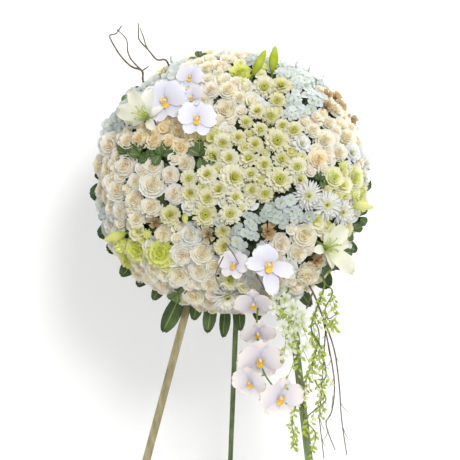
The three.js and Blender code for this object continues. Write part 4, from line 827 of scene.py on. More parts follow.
# Each bunch has its finish slot, what fills it, and blooms: kind, then seen place and radius of
# each one, in centimetres
BUNCHES = {
    "roses_left": ("ivory_rose_petals", "rose", [
        ("rose", [(-30.6, 8.9, 3.0), (-26.2, 9.9, 2.0), (-31.8, 1.9, 2.3), (-26.8, 3.8, 2.4),
            (-28.9, -2, 2.3), (-32, -4.2, 2.0), (-24.6, -4.6, 2.1), (-28.2, -7.4, 2.3),
            (-23.8, -9.6, 2.0), (-24.2, -0.4, 1.6)]),
        ("leaf", [(-23.6, 6.4, 2.3), (-27, 6.8, 1.5), (-21.2, 5.4, 1.7)]),
        ("rose", [(-19.8, 3.6, 2.0), (-19.8, -1, 2.9), (-20, -6, 2.3), (-15.6, 1.2, 1.9),
            (-14.6, -3.5, 2.2), (-11.9, 4.3, 2.0)]),
        ("mum", [(-15.4, -8.1, 2.3)]),
        ("leaf", [(-17.8, 6.2, 2.2)])]),
    "roses_bottom": ("ivory_rose_petals", "rose", [
        ("rose", [(-17.1, -13.6, 2.1)]),
        ("white rose", [(-10.5, -13.8, 2.8)]),
        ("rose", [(-12.3, -19, 2.5), (-7.4, -18.3, 2.2), (-4.5, -21.8, 2.1)]),
        ("bud", [(-11.6, -9.4, 1.3)]),
        ("rose", [(-8.9, -23.2, 2.3), (-13.3, -24, 2.4), (-17.6, -26.6, 2.7), (-9.8, -29.4, 2.6),
            (-5.5, -26.4, 2.2), (-19.7, -22.3, 1.7), (-23, -22.6, 1.6)]),
        ("leaf", [(-13.6, -28.6, 2.0)])]),
    "roses_top": ("ivory_rose_petals", "rose", [
        ("rose", [(-6.2, 28.2, 1.9), (-2.5, 29, 2.3), (1.6, 31.4, 1.7), (-5.3, 22.8, 2.1),
            (-1, 22.9, 2.2), (-1.6, 18.1, 2.9), (2, 20.9, 1.4)]),
        ("leaf", [(-8.3, 30.8, 1.5)])]),
    "roses_right": ("ivory_rose_petals", "rose", [
        ("rose", [(28.9, 11, 2.4), (27, 7, 1.9), (23.3, 10, 2.1), (20.4, 12.8, 1.8),
            (24.5, 14.6, 1.9)]),
        ("peach rose", [(21.6, 5.2, 2.2)]),
        ("floret", [(31.8, 7, 1.6)])]),
    "roses_lower_right": ("ivory_rose_petals", "rose", [
        ("rose", [(18.3, -13.8, 2.6), (12.6, -16.2, 2.4), (17.1, -18.9, 2.3)])]),
    "lime_roses_right": ("lime_petals", "fresh leaf", [
        ("pale lime rose", [(25.6, 0.7, 2.4), (30.9, 0.6, 2.8)]),
        ("button", [(27.6, 3.7, 1.3), (30.4, -3.6, 1.6)]),
        ("leaf", [(22.1, 0.2, 1.5)])]),
    "lime_mums_left": ("lime_petals", "button", [
        ("lime ruffle", [(-24.1, -17.4, 3.1), (-17.6, -18, 3.0)]),
        ("button", [(-21.3, -13.4, 1.4)])]),
    "peach_carnations": ("peach_petals", "peach ruffle", [
        ("peach ruffle", [(-23, 10.2, 2.2), (-19.5, 10, 2.2), (-16, 9.4, 2.2), (-12.9, 8.4, 2.2),
            (-13.6, 12.2, 2.0), (-13, 15.4, 1.6)])]),
    "mums_centre": ("cream_mum_petals", "small mum", [
        ("mum", [(0.7, 0.7, 3.0), (-3.4, -2.2, 1.9), (1, -4.2, 1.9), (-6.2, -4.6, 2.1),
            (-6.6, 1.8, 2.3), (-0.8, 5.6, 2.2), (-4.8, 6.2, 1.9), (-2.4, 9.2, 2.0),
            (-10.6, -3.3, 2.0), (-0.5, -8.3, 2.1), (-6.6, -8.7, 2.4), (-10.8, 0.4, 1.7)]),
        ("leaf", [(-8.2, 6.3, 2.4)])]),
    "mums_right": ("cream_mum_petals", "small mum", [
        ("mum", [(11.9, 0.2, 3.0), (16.2, 3.3, 2.1), (8.1, 3.8, 1.9), (8.2, -3.5, 1.9),
            (12.6, 5.4, 1.8), (17.2, 0.2, 1.6), (4.6, 1.6, 1.7), (4.8, -2.6, 1.6)]),
        ("spider", [(19.2, -4, 3.2), (23.4, -6.2, 2.8), (27.4, -8, 2.7)])]),
    "mums_upper_right": ("cream_mum_petals", "small mum", [
        ("mum", [(11.2, 9.7, 2.9), (15.2, 12.4, 2.1), (9.8, 16, 1.9), (6.2, 17.2, 1.8),
            (3.6, 14.6, 1.7), (5.8, 9, 1.9), (1.6, 10.6, 1.7), (12.4, 13.6, 1.5), (7.2, 12.7, 1.7),
            (11.2, 19.8, 1.8), (8.1, 23.6, 2.5), (12.1, 23.6, 2.2)]),
        ("lime rose", [(2.3, 27.4, 2.3)]),
        ("button", [(7.6, 28, 1.5)])]),
    "mums_bottom": ("cream_mum_petals", "small mum", [
        ("mum", [(-0.7, -24.8, 2.2)]),
        ("spider", [(-1, -29.5, 3.1)])]),
    "hydrangea_top": ("blue_white_florets", "floret", [
        ("floret", [(13, 28.6, 1.6), (12.6, 26.4, 1.2), (17, 27.2, 1.7), (20, 28, 1.5),
            (20.8, 25, 1.6), (16.2, 23.8, 1.6), (23.4, 25.4, 1.5), (20.2, 20.6, 1.9),
            (15.6, 20.2, 1.8), (17.4, 17.2, 1.6), (14.4, 16.6, 1.5)]),
        ("spike", [(15.9, 27.9, 1.0), (19, 26.6, 1.0), (22.6, 24.6, 0.9)])]),
    "hydrangea_lower": ("blue_white_florets", "floret", [
        ("floret", [(5, -9.8, 1.7), (8.8, -8.4, 1.6), (12.6, -9.8, 1.7), (4.6, -13, 1.7),
            (1.4, -13, 1.6), (1.6, -17.6, 1.9)]),
        ("mum", [(-2, -16.8, 2.0), (-2.4, -12.9, 1.6)]),
        ("floret", [(16.4, -8.8, 1.6)])]),
    "white_stock_left": ("blue_white_florets", "floret", [
        ("stock ruffle", [(-30.4, -12, 2.2)]),
        ("floret", [(-32.4, -8.6, 1.5)])]),
    "florets_upper_left": ("blue_white_florets", "floret", [
        ("floret", [(-28.2, 14, 1.8)]),
        ("fresh leaf", [(-27, 18.2, 2.0)]),
        ("leaf", [(-24.2, 24, 2.1)]),
        ("floret", [(-22.6, 20.6, 1.7)]),
        ("mum", [(-17.4, 27, 1.8)]),
        ("rose", [(-20.6, 26.2, 1.7)]),
        ("spike", [(-14.8, 28.6, 1.1)])]),
    "dried_right_top": ("dried_blooms", "dried ruffle", [
        ("dried ruffle", [(24, 21.2, 1.9), (27, 18.2, 2.1)])]),
    "dried_lower_right": ("dried_blooms", "rose", [
        ("dried ruffle", [(21.2, -20.2, 1.9)]),
        ("cream ruffle", [(18.6, -23.9, 3.2)])]),
    "dried_left": ("dried_blooms", "small mum", [
        ("dried ruffle", [(-19.6, -10.8, 1.8)])]),
    "dried_lower": ("dried_blooms", "small mum", [
        ("dried ruffle", [(-5.9, -13.6, 2.0)])]),
    "dried_centre": ("dried_blooms", "small mum", [
        ("dried ruffle", [(8.9, -12.8, 2.2)])]),
    "leaves_right": ("leaf", "leaf", [
        ("leaf", [(30.4, -12.6, 2.2), (26.4, -13.8, 1.6), (27.6, -18.6, 2.2)])]),
}

# Flowers that stand out on their own stem: seen place, radius, lift, roll and yaw
ORCHIDS = {
    "orchid_left": ((-16.6, 19.6), 5.9, 3.0, 14, -12),
    "orchid_top": ((-10.4, 25.6), 3.6, 2.0, -8, -10),
    "orchid_upper": ((-8.8, 15.2), 4.9, 3.2, -6, 8),
    "orchid_lower": ((9.1, -21.4), 5.9, 3.4, 0, 6),
    "orchid_bottom": ((0.6, -21.2), 3.9, 1.4, -12, -16),
}

# Lilies: the seen place of the throat, its lift, its yaw and the seen tips of the six tepals
LILIES = {
    "lily_left": ((-20, 14.2), 3.0, -24, [
        (4.6, 2.6), (0.6, 8.0), (-5.4, 7.9), (-8.9, 2.3), (-4.0, -1.8), (2.6, -3.4)]),
    "lily_right": ((21.9, -15.9), 3.0, 24, [
        (7.0, 1.2), (6.4, 5.9), (0.6, 4.4), (-3.6, -0.6), (1.2, -5.4), (7.0, -6.8)]),
}

# Lily buds: the seen place of the foot and of the tip, the radius, how far the tip stands out, tint
BUDS = {
    "lily_bud_top_left": ((4.8, 26), (8.5, 32.6), 1.15, 3.4, 0.0),
    "lily_bud_top_right": ((10.2, 26.8), (10.8, 33.6), 1.25, 3.4, 0.0),
    "lily_bud_left": ((-26.6, -13.4), (-32, -15), 1.6, 3.8, 0.5),
    "lily_bud_right": ((29.6, -6.4), (35.4, -6.9), 1.1, 2.4, 0.8),
}

# Branches and sprays. A strand has its seen points in centimetres, two radii in millimetres and
# how far in front of its root it ends, in millimetres.
SPRAYS = {
    "willow_twigs_left": ((-22.2, 23.6), 0, [
        ([(-22.2, 24.6), (-22.5, 27.3), (-25.2, 28.4), (-27.8, 31), (-29.3, 33.3), (-30.6, 36),
          (-29, 36.6), (-27.6, 38.6)], (3, 1.4), 20),
        ([(-22.6, 27.4), (-25.1, 30), (-26.1, 32.3), (-26.4, 35.2), (-28.8, 37.6)], (2.2, 1.2), 44),
        ([(-22.5, 27.2), (-20.8, 28.4)], (2, 1.2), 10)]),
    "willow_twigs_right": ((-15.6, 28), 0, [
        ([(-15.7, 28.6), (-16.8, 30.1), (-18.8, 30.1), (-21, 32.6), (-23.1, 34.9), (-23.4, 36.8),
          (-23.3, 39.2)], (2.8, 1.3), 24),
        ([(-21.5, 33.6), (-22.1, 35.6), (-23, 37.9)], (1.8, 1.2), 46)]),
    "trailing_twigs": ((20.4, -27.6), 0, [
        ([(20.2, -28), (22.6, -34), (25.5, -42.2), (26.8, -51.2), (27.4, -59.8), (28.7, -68.8)],
         (2.6, 1.2), 6),
        ([(22.8, -34.6), (25.5, -49.2), (25, -57.6), (23.5, -61.1), (25.8, -67.5)], (1.8, 1.1), 26),
        ([(20.2, -28), (16, -40), (16.6, -47.5), (17.6, -55.4), (19, -62.8)], (2.2, 1.1), 12),
        ([(23.4, -36.6), (22, -57.6), (22, -61.1), (23, -69.6)], (1.8, 1.1), -14)]),
    "lime_spray": ((23.4, -25.4), 14, [
        ([(23.2, -26), (19.8, -36.5), (22.2, -41.8), (23.5, -49.2), (20.8, -50.2), (23.5, -54.5),
          (21.6, -56.8), (18.5, -59.8), (20.8, -63), (20.8, -65.5)], (2.2, 1.3), 40),
        ([(21, -36), (21.8, -39.8), (19.6, -47), (15.6, -57.6), (15, -61.5), (15.6, -64.6)],
         (1.8, 1.2), 16),
        ([(23.2, -26), (25.2, -28), (23.3, -32.1), (23.9, -34.7), (26.2, -33.5)], (1.8, 1.2), 52)]),
    "dendrobium_spray": ((14.2, -27), 0, [
        ([(14.2, -27.4), (12, -29.6), (12.4, -32.2), (15.6, -31.4), (17, -34), (13.4, -36.2),
          (16.4, -38), (17, -41.5)], (2, 1.3), 60)]),
}

# The orchids that hang under the wreath: stem points, then seen place, radius, nod and yaw
CASCADE_ROOT = (6.6, -29.4)
CASCADE_STEM = [(6.6, -30), (6.2, -36), (6.8, -43), (8.2, -48.6), (11.8, -53.4), (13.6, -56)]
CASCADE_BLOOMS = [
    ((5.4, -30.6), 4.9, 42, -6), ((6.4, -38.0), 4.5, 46, 8), ((7.0, -44.6), 5.9, 28, 4),
    ((4.6, -50.4), 4.6, 24, -24), ((12.0, -54.0), 5.8, 26, 16)]

# Leaves of the collar: seen angle in degrees, reach past the rim and half width in millimetres
COLLAR = {
    "collar_left": (128, 214, [
        (131, 14, 15), (140, 18, 16), (149, 10, 15), (158, 16, 15), (168, 14, 15), (178, 18, 16),
        (186, 30, 25), (194, 18, 17), (203, 34, 22), (211, 30, 21)]),
    "collar_bottom": (218, 306, [
        (220, 38, 20), (228, 26, 16), (236, 30, 15), (246, 90, 21), (254, 34, 15), (261, 60, 16),
        (267, 66, 14), (273, 50, 15), (282, 30, 15), (291, 38, 14), (300, 44, 15)]),
    "collar_right": (310, 396, [
        (313, 34, 24), (322, 22, 15), (330, 30, 16), (339, 16, 15), (349, 20, 20), (358, 26, 20),
        (366, 24, 16), (375, 14, 15), (384, 16, 15), (393, 20, 15)]),
    "collar_top": (40, 124, [
        (43, 22, 15), (52, 16, 15), (61, 18, 15), (70, 20, 14), (79, 12, 14), (88, 14, 14),
        (97, 12, 14), (106, 16, 14), (114, 14, 14), (121, 16, 15)]),
}


def on_rolled_dome(seen):
    return seen_on_dome(seen[0] * CM, seen[1] * CM)


# How near small blooms come to others, as a share of both radii together
FILL_GAP = 0.92
TINY_GAP = 0.75


def all_sites():
    """Every bloom and stem of the dome, then small blooms on the bare points of a spiral."""
    sites = []
    for bunch, (_, _, blooms) in BUNCHES.items():
        for kind, places in blooms:
            sites += [[kind, bunch, *on_rolled_dome(seen), radius * CM] for *seen, radius in places]
    stems = [(seen, 1.5) for seen, *_ in ORCHIDS.values()]
    stems += [(seen, 1.6) for seen, *_ in LILIES.values()]
    stems += [(seen, radius) for seen, _, radius, *_ in BUDS.values()]
    stems += [(seen, 1.3) for seen, *_ in SPRAYS.values()] + [(CASCADE_ROOT, 1.3)]
    sites += [["stem", None, *on_rolled_dome(seen), radius * CM] for seen, radius in stems]
    for n in range(FILL_POINTS):
        run = (ARC - FILL_RADIUS * 0.8) * math.sqrt((n + 0.5) / FILL_POINTS)
        p, q = run * math.cos(n * GOLDEN), run * math.sin(n * GOLDEN)
        if all(math.hypot(s[2] - p, s[3] - q) > FILL_GAP * (s[4] + FILL_RADIUS) for s in sites):
            sites.append(["fill", None, p, q, FILL_RADIUS])
    flowers = [s for s in sites if s[1] in BUNCHES]
    for site in sites:
        if site[0] == "fill":
            nearest = min(flowers, key=lambda s: math.hypot(s[2] - site[2], s[3] - site[3]) - s[4])
            site[1] = nearest[1]
            site[0] = BUNCHES[nearest[1]][1]
            draw = chance.random()
            for other, share in AMONG.get(site[0], ()):
                if draw < share:
                    site[0] = other
                    break
                draw -= share
    covered = [(s[2], s[3], s[4] * SPREAD.get(s[0], 1.0)) for s in sites]
    for radius, points in TINY_SIZES:
        for n in range(points):
            run = (ARC - radius) * math.sqrt((n + 0.5) / points)
            p, q = run * math.cos(n * GOLDEN), run * math.sin(n * GOLDEN)
            if all(math.hypot(a - p, b - q) > TINY_GAP * (c + radius) for a, b, c in covered):
                nearest = min(flowers, key=lambda s: math.hypot(s[2] - p, s[3] - q) - s[4])
                sites.append([TINY[BUNCHES[nearest[1]][1]], nearest[1], p, q, radius])
                covered.append((p, q, radius))
    return sites


def facing_place(origin, facing, spin, size):
    """A place whose +Z looks along facing, turned round it by spin, one unit being size."""
    turn = facing.to_track_quat("Z", "Y").to_matrix().to_4x4()
    return (Matrix.Translation(origin) @ turn @ Matrix.Rotation(spin, 4, "Z")
            @ Matrix.Scale(size, 4))


CORE_SHARE = 0.925


def core_of(node):
    """The stems and leaves that show between the flowers, darkened with painted shade: the CAD
    bunch, drawn in under them.
    """
    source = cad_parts[node]
    core = source.copy()
    core.data = source.data.copy()
    core.parent = None
    bpy.context.scene.collection.objects.link(core)
    core.hide_render = core.hide_viewport = False
    for key in list(core.keys()):
        del core[key]
    shrink = (Matrix.Translation(FACE_ORIGIN) @ Matrix.Scale(CORE_SHARE, 4)
              @ Matrix.Translation(-FACE_ORIGIN))
    core.data.transform(shrink)
    core.data.materials.clear()
    core.data.materials.append(undergrowth_with_painted_shade)
    return core


# How far the blooms of a bunch run to their second colour, where it isn't from none to all: the
# lower hydrangeas take much of the darker grey that paints shade on the florets, the top and left
# florets little, and the lowest dried bloom is orange brown
TINTS_AND_PAINTED_SHADE = {
    "hydrangea_lower": (0.45, 1.0), "hydrangea_top": (0.0, 0.5), "white_stock_left": (0.0, 0.3),
    "florets_upper_left": (0.0, 0.3), "dried_lower_right": (0.0, 0.1),
    "dried_right_top": (0.2, 0.8)}


# How far fill blooms leave their point, in radii, and how far blooms look aside
NUDGE = 0.3
SWAY, LOOSE_SWAY = 0.22, 0.34


def place_bloom(site):
    """A bloom on its place of the dome, turned and leaned a little by chance."""
    kind, bunch, p, q, radius = site
    if radius in (FILL_RADIUS, TINY_SIZES[0][0]):
        p += radius * chance.uniform(-NUDGE, NUDGE)
        q += radius * chance.uniform(-NUDGE, NUDGE)
    outer = max(0, math.hypot(p, q) / ARC - 0.6)
    facing = (dome_normal(p, q) + Vector((0, -0.35 - 0.9 * outer, 0))).normalized()
    sway = LOOSE_SWAY if "mum" in kind or kind == "floret" else SWAY
    facing = (facing + Vector([chance.uniform(-sway, sway) for _ in range(3)])).normalized()
    rim = max(0, math.hypot(p, q) / ARC - 0.86) * 3
    lift = LIFT.get(kind, 0.0) + chance.uniform(-0.15, 0.2) + chance.uniform(0, rim)
    origin = over_dome(p, q, lift * radius)
    size = radius * SPREAD.get(kind, 1.15) * chance.uniform(0.9, 1.08)
    spin = chance.uniform(0, 2 * math.pi)
    master = chance.choice(BLOOMS[kind])
    if kind == "bud":
        hanging = (0.5 * facing + Vector((0.05, 0, -1))).normalized()
        place = facing_place(over_dome(p, q, 0.4 * radius) - radius * hanging, hanging, spin, 1)
        place = place @ Matrix.Diagonal((0.62 * radius, 0.62 * radius, 2.3 * radius, 1))
    elif kind == "spike":
        upright = (dome_normal(p, q) + Vector((0, 0, 0.9))).normalized()
        place = facing_place(origin, upright, spin, radius)
    else:
        place = facing_place(origin, facing, spin, size)
    return copy_of(master, place, tint=chance.uniform(*TINTS_AND_PAINTED_SHADE.get(bunch, (0.0, 1.0))))


def settle(piece, node):
    """The piece stands for its CAD node and goes with the wreath."""
    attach(piece, WREATH)
    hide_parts(node)
    return piece


# Curled twigs over the flowers of a bunch, by seen points in centimetres
CURLS = {
    "roses_bottom": [[(-1.7, -15.4), (0.2, -17), (1.4, -19.2), (1, -20.4)],
                     [(-2.1, -18.7), (-3.6, -21.4), (-3.2, -25.5)]],
    "roses_lower_right": [[(5.8, -22.8), (7.2, -24.6), (7.1, -26.3)]],
}


def curl(points):
    """A thin dark twig that lies in a bow over the flowers."""
    rows = []
    for n, (x, z) in enumerate(points):
        up = 0.03 * math.sin(math.pi * n / (len(points) - 1)) + 0.012
        rows.append(over_dome(*on_rolled_dome((x, z)), up))
    return tube("curled twig", rows, (0.0016, 0.0009), twig_bark, sides=1)


sites = all_sites()
for bunch, (finish, _, _) in BUNCHES.items():
    parts = [place_bloom(site) for site in sites if site[1] == bunch]
    parts += [curl(points) for points in CURLS.get(bunch, ())]
    parts.append(core_of(bunch))
    settle(joined(parts, f"{bunch}_flowers"), bunch)


# ---- Stems, twigs and leaves ----


ROOT_DEPTH = -0.03


def stem_top(seen, lift):
    """The point of a stem at a lift over its seen place on the dome."""
    return over_dome(*on_rolled_dome(seen), lift)


def stem_to(seen, top, radii=(0.004, 0.003)):
    """A green stem from inside the dome to the back of its flower."""
    return tube("stem", [stem_top(seen, ROOT_DEPTH), top], radii, stem_green)


def facing_from(yaw, nod=0.0, tilt=12.0):
    """The way a flower looks, by degrees to the right, down, and up from level."""
    sideways = math.radians(yaw)
    raised = math.radians(tilt - nod)
    return Vector((math.sin(sideways) * math.cos(raised),
                   -math.cos(sideways) * math.cos(raised), math.sin(raised)))


def frame_at(origin, facing, roll=0.0):
    """A place with +Z along facing and +Y as near upright as it can be, turned by roll degrees."""
    normal = facing.normalized()
    side = Vector((0, 0, 1)).cross(normal).normalized()
    up = normal.cross(side)
    turn = math.radians(roll)
    right = side * math.cos(turn) + up * math.sin(turn)
    ahead = normal.cross(right)
    return Matrix.Translation(origin) @ Matrix((right, ahead, normal)).transposed().to_4x4()


def petal_at(petal, degrees, reach, wide, tilt, rise=0.0, **values):
    """One petal in the plane of its flower: 90 degrees is up."""
    place = (
        Matrix.Rotation(math.radians(degrees - 90), 4, "Z") @ Matrix.Translation((0, 0, rise))
        @ Matrix.Rotation(math.radians(tilt), 4, "X") @ Matrix.Diagonal((wide, reach, reach, 1)))
    return copy_of(petal, place, **values)


def make_orchid(name, sepals, wings):
    """A moth orchid: sepals behind broad petals, each by turn, reach and width, and a lip."""
    wing = with_material(orchid_wing, orchid_petal)
    sepal = with_material(orchid_sepal, orchid_petal)
    lip = with_material(round_petal, orchid_lip)
    parts = [petal_at(sepal, turn, reach, wide, 4, ring=0.0) for turn, reach, wide in sepals]
    parts += [petal_at(wing, turn, reach, wide, 8, rise=0.05, ring=0.1)
              for turn, reach, wide in wings]
    parts += [petal_at(lip, turn, 0.26, 0.3, 52, rise=0.05) for turn in (8, 172)]
    parts.append(petal_at(lip, -90, 0.38, 0.34, 22, rise=0.05))
    parts.append(make_dome("column", orchid_petal, 0.09, 0.16, 0.1, 0.0))
    return store(joined(parts, name))


moth_orchid = make_orchid("moth orchid", [(90, 1.0, 1.15), (-55, 0.98, 1.1), (-125, 0.98, 1.1)],
                          [(18, 1.02, 0.92), (162, 1.02, 0.92)])
slanting_orchid = make_orchid("slanting orchid",
                              [(84, 0.8, 1.1), (-84, 1.3, 1.0), (-150, 0.6, 0.9)],
                              [(116, 0.9, 0.72), (-20, 1.1, 0.5), (176, 0.98, 0.45)])

for name, (seen, radius, lift, roll, yaw) in ORCHIDS.items():
    top = sight_at(seen[0] * CM, seen[1] * CM, stem_top(seen, lift * CM).y)
    master = slanting_orchid if name == "orchid_lower" else moth_orchid
    bloom = copy_of(master, frame_at(top, facing_from(yaw), roll) @ Matrix.Scale(radius * CM, 4),
                    tint=0.7 if name == "orchid_bottom" else 0.1)
    parts = [bloom, stem_to(seen, top)]
    # A second, smaller bloom shows behind the upper one
    if name == "orchid_upper":
        behind = sight_at(-0.098, 0.204, stem_top(seen, 0.012).y)
        parts.append(copy_of(moth_orchid, frame_at(behind, facing_from(-34, -16), 24)
                             @ Matrix.Scale(0.036, 4), tint=0.2))
        parts.append(stem_to(seen, behind))
    settle(joined(parts, f"{name}_bloom"), name)

STAMENS = 6
stamen_head = make_bud("stamen head", daisy_eye)
for name, (seen, lift, yaw, tips) in LILIES.items():
    top = stem_top(seen, lift * CM)
    place = frame_at(top, facing_from(yaw))
    tepal = with_material(lily_tepal, lily_petal)
    parts = []
    for n, (x, z) in enumerate(tips):
        reach = math.hypot(x, z) * CM
        broad = max(reach, 0.05) * (1.3 if n % 2 else 1.0)
        turned = petal_at(tepal, math.degrees(math.atan2(z, x)), reach, broad, 6,
                          rise=-0.012, tint=0.1 if x * seen[0] < 0 else 0.5, ring=0.0)
        turned.data.transform(place)
        parts.append(turned)
    # A ring of stamens round one that is taller
    for n in range(STAMENS + 1):
        turn = n / STAMENS * 2 * math.pi
        spread, tall = (0.014, 0.034) if n < STAMENS else (0.0, 0.034 + 0.008)
        tip = place @ Vector((spread * math.cos(turn), spread * math.sin(turn), tall))
        parts.append(tube("filament", [place @ Vector((0, 0, -0.01)), tip], (0.0013, 0.0008),
                          lime_bud))
        head = facing_place(tip, Vector((math.cos(turn), 0, math.sin(turn))), 0, 1)
        parts.append(copy_of(stamen_head, head @ Matrix.Diagonal((0.0018, 0.0018, 0.007, 1))))
    parts.append(stem_to(seen, top, (0.005, 0.004)))
    settle(joined(parts, f"{name}_bloom"), name)

for name, (seen, tip_seen, radius, out, tint) in BUDS.items():
    foot = stem_top(seen, -0.01)
    depth = on_face(0, 0, out * CM).y - on_face(0, 0, 0).y
    tip = sight_at(tip_seen[0] * CM, tip_seen[1] * CM, stem_top(seen, 0).y + depth)
    way = tip - foot
    base = foot + way * 0.12
    long = (tip - base).length
    slim = 0.82 if name == "lily_bud_left" else 1.0
    place = facing_place(base, way.normalized(), 0.6, 1) @ Matrix.Diagonal(
        (slim * radius * CM, slim * radius * CM, long, 1))
    parts = [copy_of(lily_bud, place, tint=tint, ring=0.0)]
    parts.append(tube("stalk", [stem_top(seen, ROOT_DEPTH), foot, foot + way * 0.2],
                      (0.004, 0.003), stem_green))
    settle(joined(parts, f"{name}_closed"), name)


# A strand that starts this near to the first one is joined to it
FORK = 0.014


def strands_of(name):
    """The paths of a spray's strands: the first starts in the dome, the rest on the first."""
    seen, ahead, strands = SPRAYS[name]
    front = stem_top(seen, 0.004).y - ahead * MM
    paths = []
    for n, (points, radii, out) in enumerate(strands):
        path = []
        for k, (x, z) in enumerate(points):
            share = k / (len(points) - 1)
            curve = 0.4 * share + 0.6 * math.sqrt(share) if n else math.sqrt(share)
            path.append(sight_at(x * CM, z * CM, front - out * MM * curve))
        if n == 0:
            path.insert(0, stem_top(seen, ROOT_DEPTH))
        else:
            near = min(paths[0][0], key=lambda at: (at - path[0]).length)
            if (near - path[0]).length < FORK:
                path.pop(0)
            path.insert(0, near)
        paths.append((path, [r * MM for r in radii]))
    return paths


def point_on(path, share):
    """The point at a share of the length of a path, and the way the path runs there."""
    lengths = [(b - a).length for a, b in zip(path, path[1:])]
    left = min(max(share, 0), 1) * sum(lengths)
    for (a, b), length in zip(zip(path, path[1:]), lengths):
        if left <= length:
            break
        left -= length
    return a.lerp(b, min(left / length, 1)), (b - a).normalized()


# Sprays on a green stem are listed with a slot name and get green stems; the others are bare twigs
SPRAY_SLOTS = {"lime_spray": "lime_buds", "dendrobium_spray": "blue_white_florets"}
LIME_SPRIGS = (26, 20, 8)
STAR_FLORETS = 30
LONG_SPRIGS = 16
TWIG_SHOOTS = 6
green_bud = make_bud("small green bud", lime_bud)
pale_bud = make_bud("small pale bud", pale_lime)


def hanging_sprig(at, long):
    """A short drooping twig with a few slim buds on both sides."""
    drop = Vector((chance.uniform(-0.5, 0.5), chance.uniform(-0.4, 0.3), -1)).normalized()
    end = at + drop * long
    parts = [tube("sprig", [at, end], (0.0008, 0.0005), stem_green, sides=1)]
    for n in range(4):
        aside = Vector((0.7 if n % 2 else -0.7, chance.uniform(-0.3, 0.3),
                        chance.uniform(-1.2, -0.3)))
        place = facing_place(at.lerp(end, 0.25 + 0.25 * n), aside.normalized(), 0, 1)
        size = chance.uniform(0.7, 1.15)
        bud = pale_bud if chance.random() < 0.3 else green_bud
        place = place @ Matrix.Diagonal((0.0036 * size, 0.0036 * size, 0.014 * size, 1))
        parts.append(copy_of(bud, place, tint=chance.random(), ring=0.0))
    return parts


for name in SPRAYS:
    parts = []
    bark = stem_green if name in SPRAY_SLOTS else twig_bark
    for n, (path, radii) in enumerate(strands_of(name)):
        parts.append(tube("strand", path, [1.05 * r for r in radii], bark, sides=2))
        if name == "trailing_twigs":
            for k in range(TWIG_SHOOTS):
                at, way = point_on(path, 0.2 + 0.13 * k)
                aside = Vector((chance.uniform(-1, 1), chance.uniform(-0.3, 0.3), -0.9))
                end = at + aside.normalized() * chance.uniform(0.015, 0.035)
                parts.append(tube("shoot", [at, at.lerp(end, 0.5) + way * 0.003, end],
                                  (0.0010, 0.0005), twig_bark, sides=1))
        if name == "lime_spray":
            for k in range(LIME_SPRIGS[n]):
                at, _ = point_on(path, 0.1 + 0.9 * (k + 0.9) / LIME_SPRIGS[n])
                parts += hanging_sprig(at, chance.uniform(0.022, 0.045))
        if name == "dendrobium_spray":
            for k in range(STAR_FLORETS):
                at, _ = point_on(path, 0.05 + 0.95 * (k + 0.9) / STAR_FLORETS)
                at = at + Vector((chance.uniform(-0.024, 0.024), chance.uniform(-0.006, 0.008),
                                  chance.uniform(-0.016, 0.004)))
                place = frame_at(at, facing_from(chance.uniform(-40, 40), 20), 37 * k)
                parts.append(copy_of(star_floret, place @ Matrix.Scale(2.2 * CM, 4),
                                     tint=chance.random()))
            for k in range(LONG_SPRIGS):
                at, _ = point_on(path, 0.35 + 0.043 * k)
                parts += hanging_sprig(at, 0.03 + 0.005 * k)
    settle(joined(parts, f"{name}_branch"), name)

# The cascade of orchids on one stem
front = stem_top(CASCADE_ROOT, 0.014).y
path = [stem_top(CASCADE_ROOT, ROOT_DEPTH)]
path += [sight_at(x * CM, z * CM, front) for x, z in CASCADE_STEM]
parts = [tube("cascade stem", path, (0.0026, 0.0018), stem_green)]
for seen, radius, nod, yaw in CASCADE_BLOOMS:
    middle = sight_at(seen[0] * CM, seen[1] * CM, front - 0.012)
    near = min(rounded(path), key=lambda at: (at - middle).length)
    parts.append(tube("stalk", [near, middle], (0.0018, 0.0018), stem_green, sides=2))
    parts.append(copy_of(moth_orchid, frame_at(middle, facing_from(yaw, nod, 0))
                         @ Matrix.Scale(radius * CM, 4), tint=0.95))
settle(joined(parts, "orchid_cascade_blooms"), "orchid_cascade")


def collar_leaf(degrees, reach, half, blade):
    """One leaf of the collar, with its stalk in the ring of stalks."""
    turn = math.radians(degrees)
    root = BOARD_RADIUS + 0.006
    tip = DOME_RADIUS + reach * MM
    drop = chance.uniform(-0.004, 0.004)
    u, v = root * math.cos(turn), root * math.sin(turn)
    out = on_face(u + math.cos(turn), v + math.sin(turn), 0) - on_face(u, v, 0)
    normal = on_face(0, 0, 1) - on_face(0, 0, 0)
    side = out.cross(normal)
    base = on_face(u, v, -0.002 + drop)
    place = Matrix.Translation(base) @ Matrix((side, out, normal)).transposed().to_4x4()
    lean = Matrix.Rotation(math.radians(chance.uniform(-6, 6)), 4, "X")
    roll = Matrix.Rotation(math.radians(chance.uniform(-26, 26)), 4, "Y")
    wide = 2.2 * half * MM / 0.62
    swing = Matrix.Rotation(math.radians(chance.uniform(-9, 9) * (reach < 50)), 4, "Z")
    return copy_of(blade, place @ swing @ lean @ roll @ Matrix.Diagonal(
        (wide, tip - root, 0.7 * (tip - root), 1)), tint=chance.uniform(0, 0.5))


collar_blade = with_material(broad_leaf, green_leaf)
for name, (first, last, leaves) in COLLAR.items():
    parts = [collar_leaf(*leaf, collar_blade) for leaf in leaves]
    for strand in range(3):
        radius = BOARD_RADIUS + 0.005 + 0.007 * strand
        points = []
        for k in range(14):
            turn = math.radians(first + (last - first) * k / 13)
            swing = radius + 0.003 * math.sin(3 * k + 2 * strand)
            points.append(on_face(swing * math.cos(turn), swing * math.sin(turn),
                                  -0.0024 + 0.001 * math.sin(2 * k + strand)))
        parts.append(tube("stalks", points, (0.0022, 0.0018), stem_green, sides=1))
    settle(joined(parts, f"{name}_leaves"), name)


# ---- Finishes of the stand, and of what the flowers hide ----

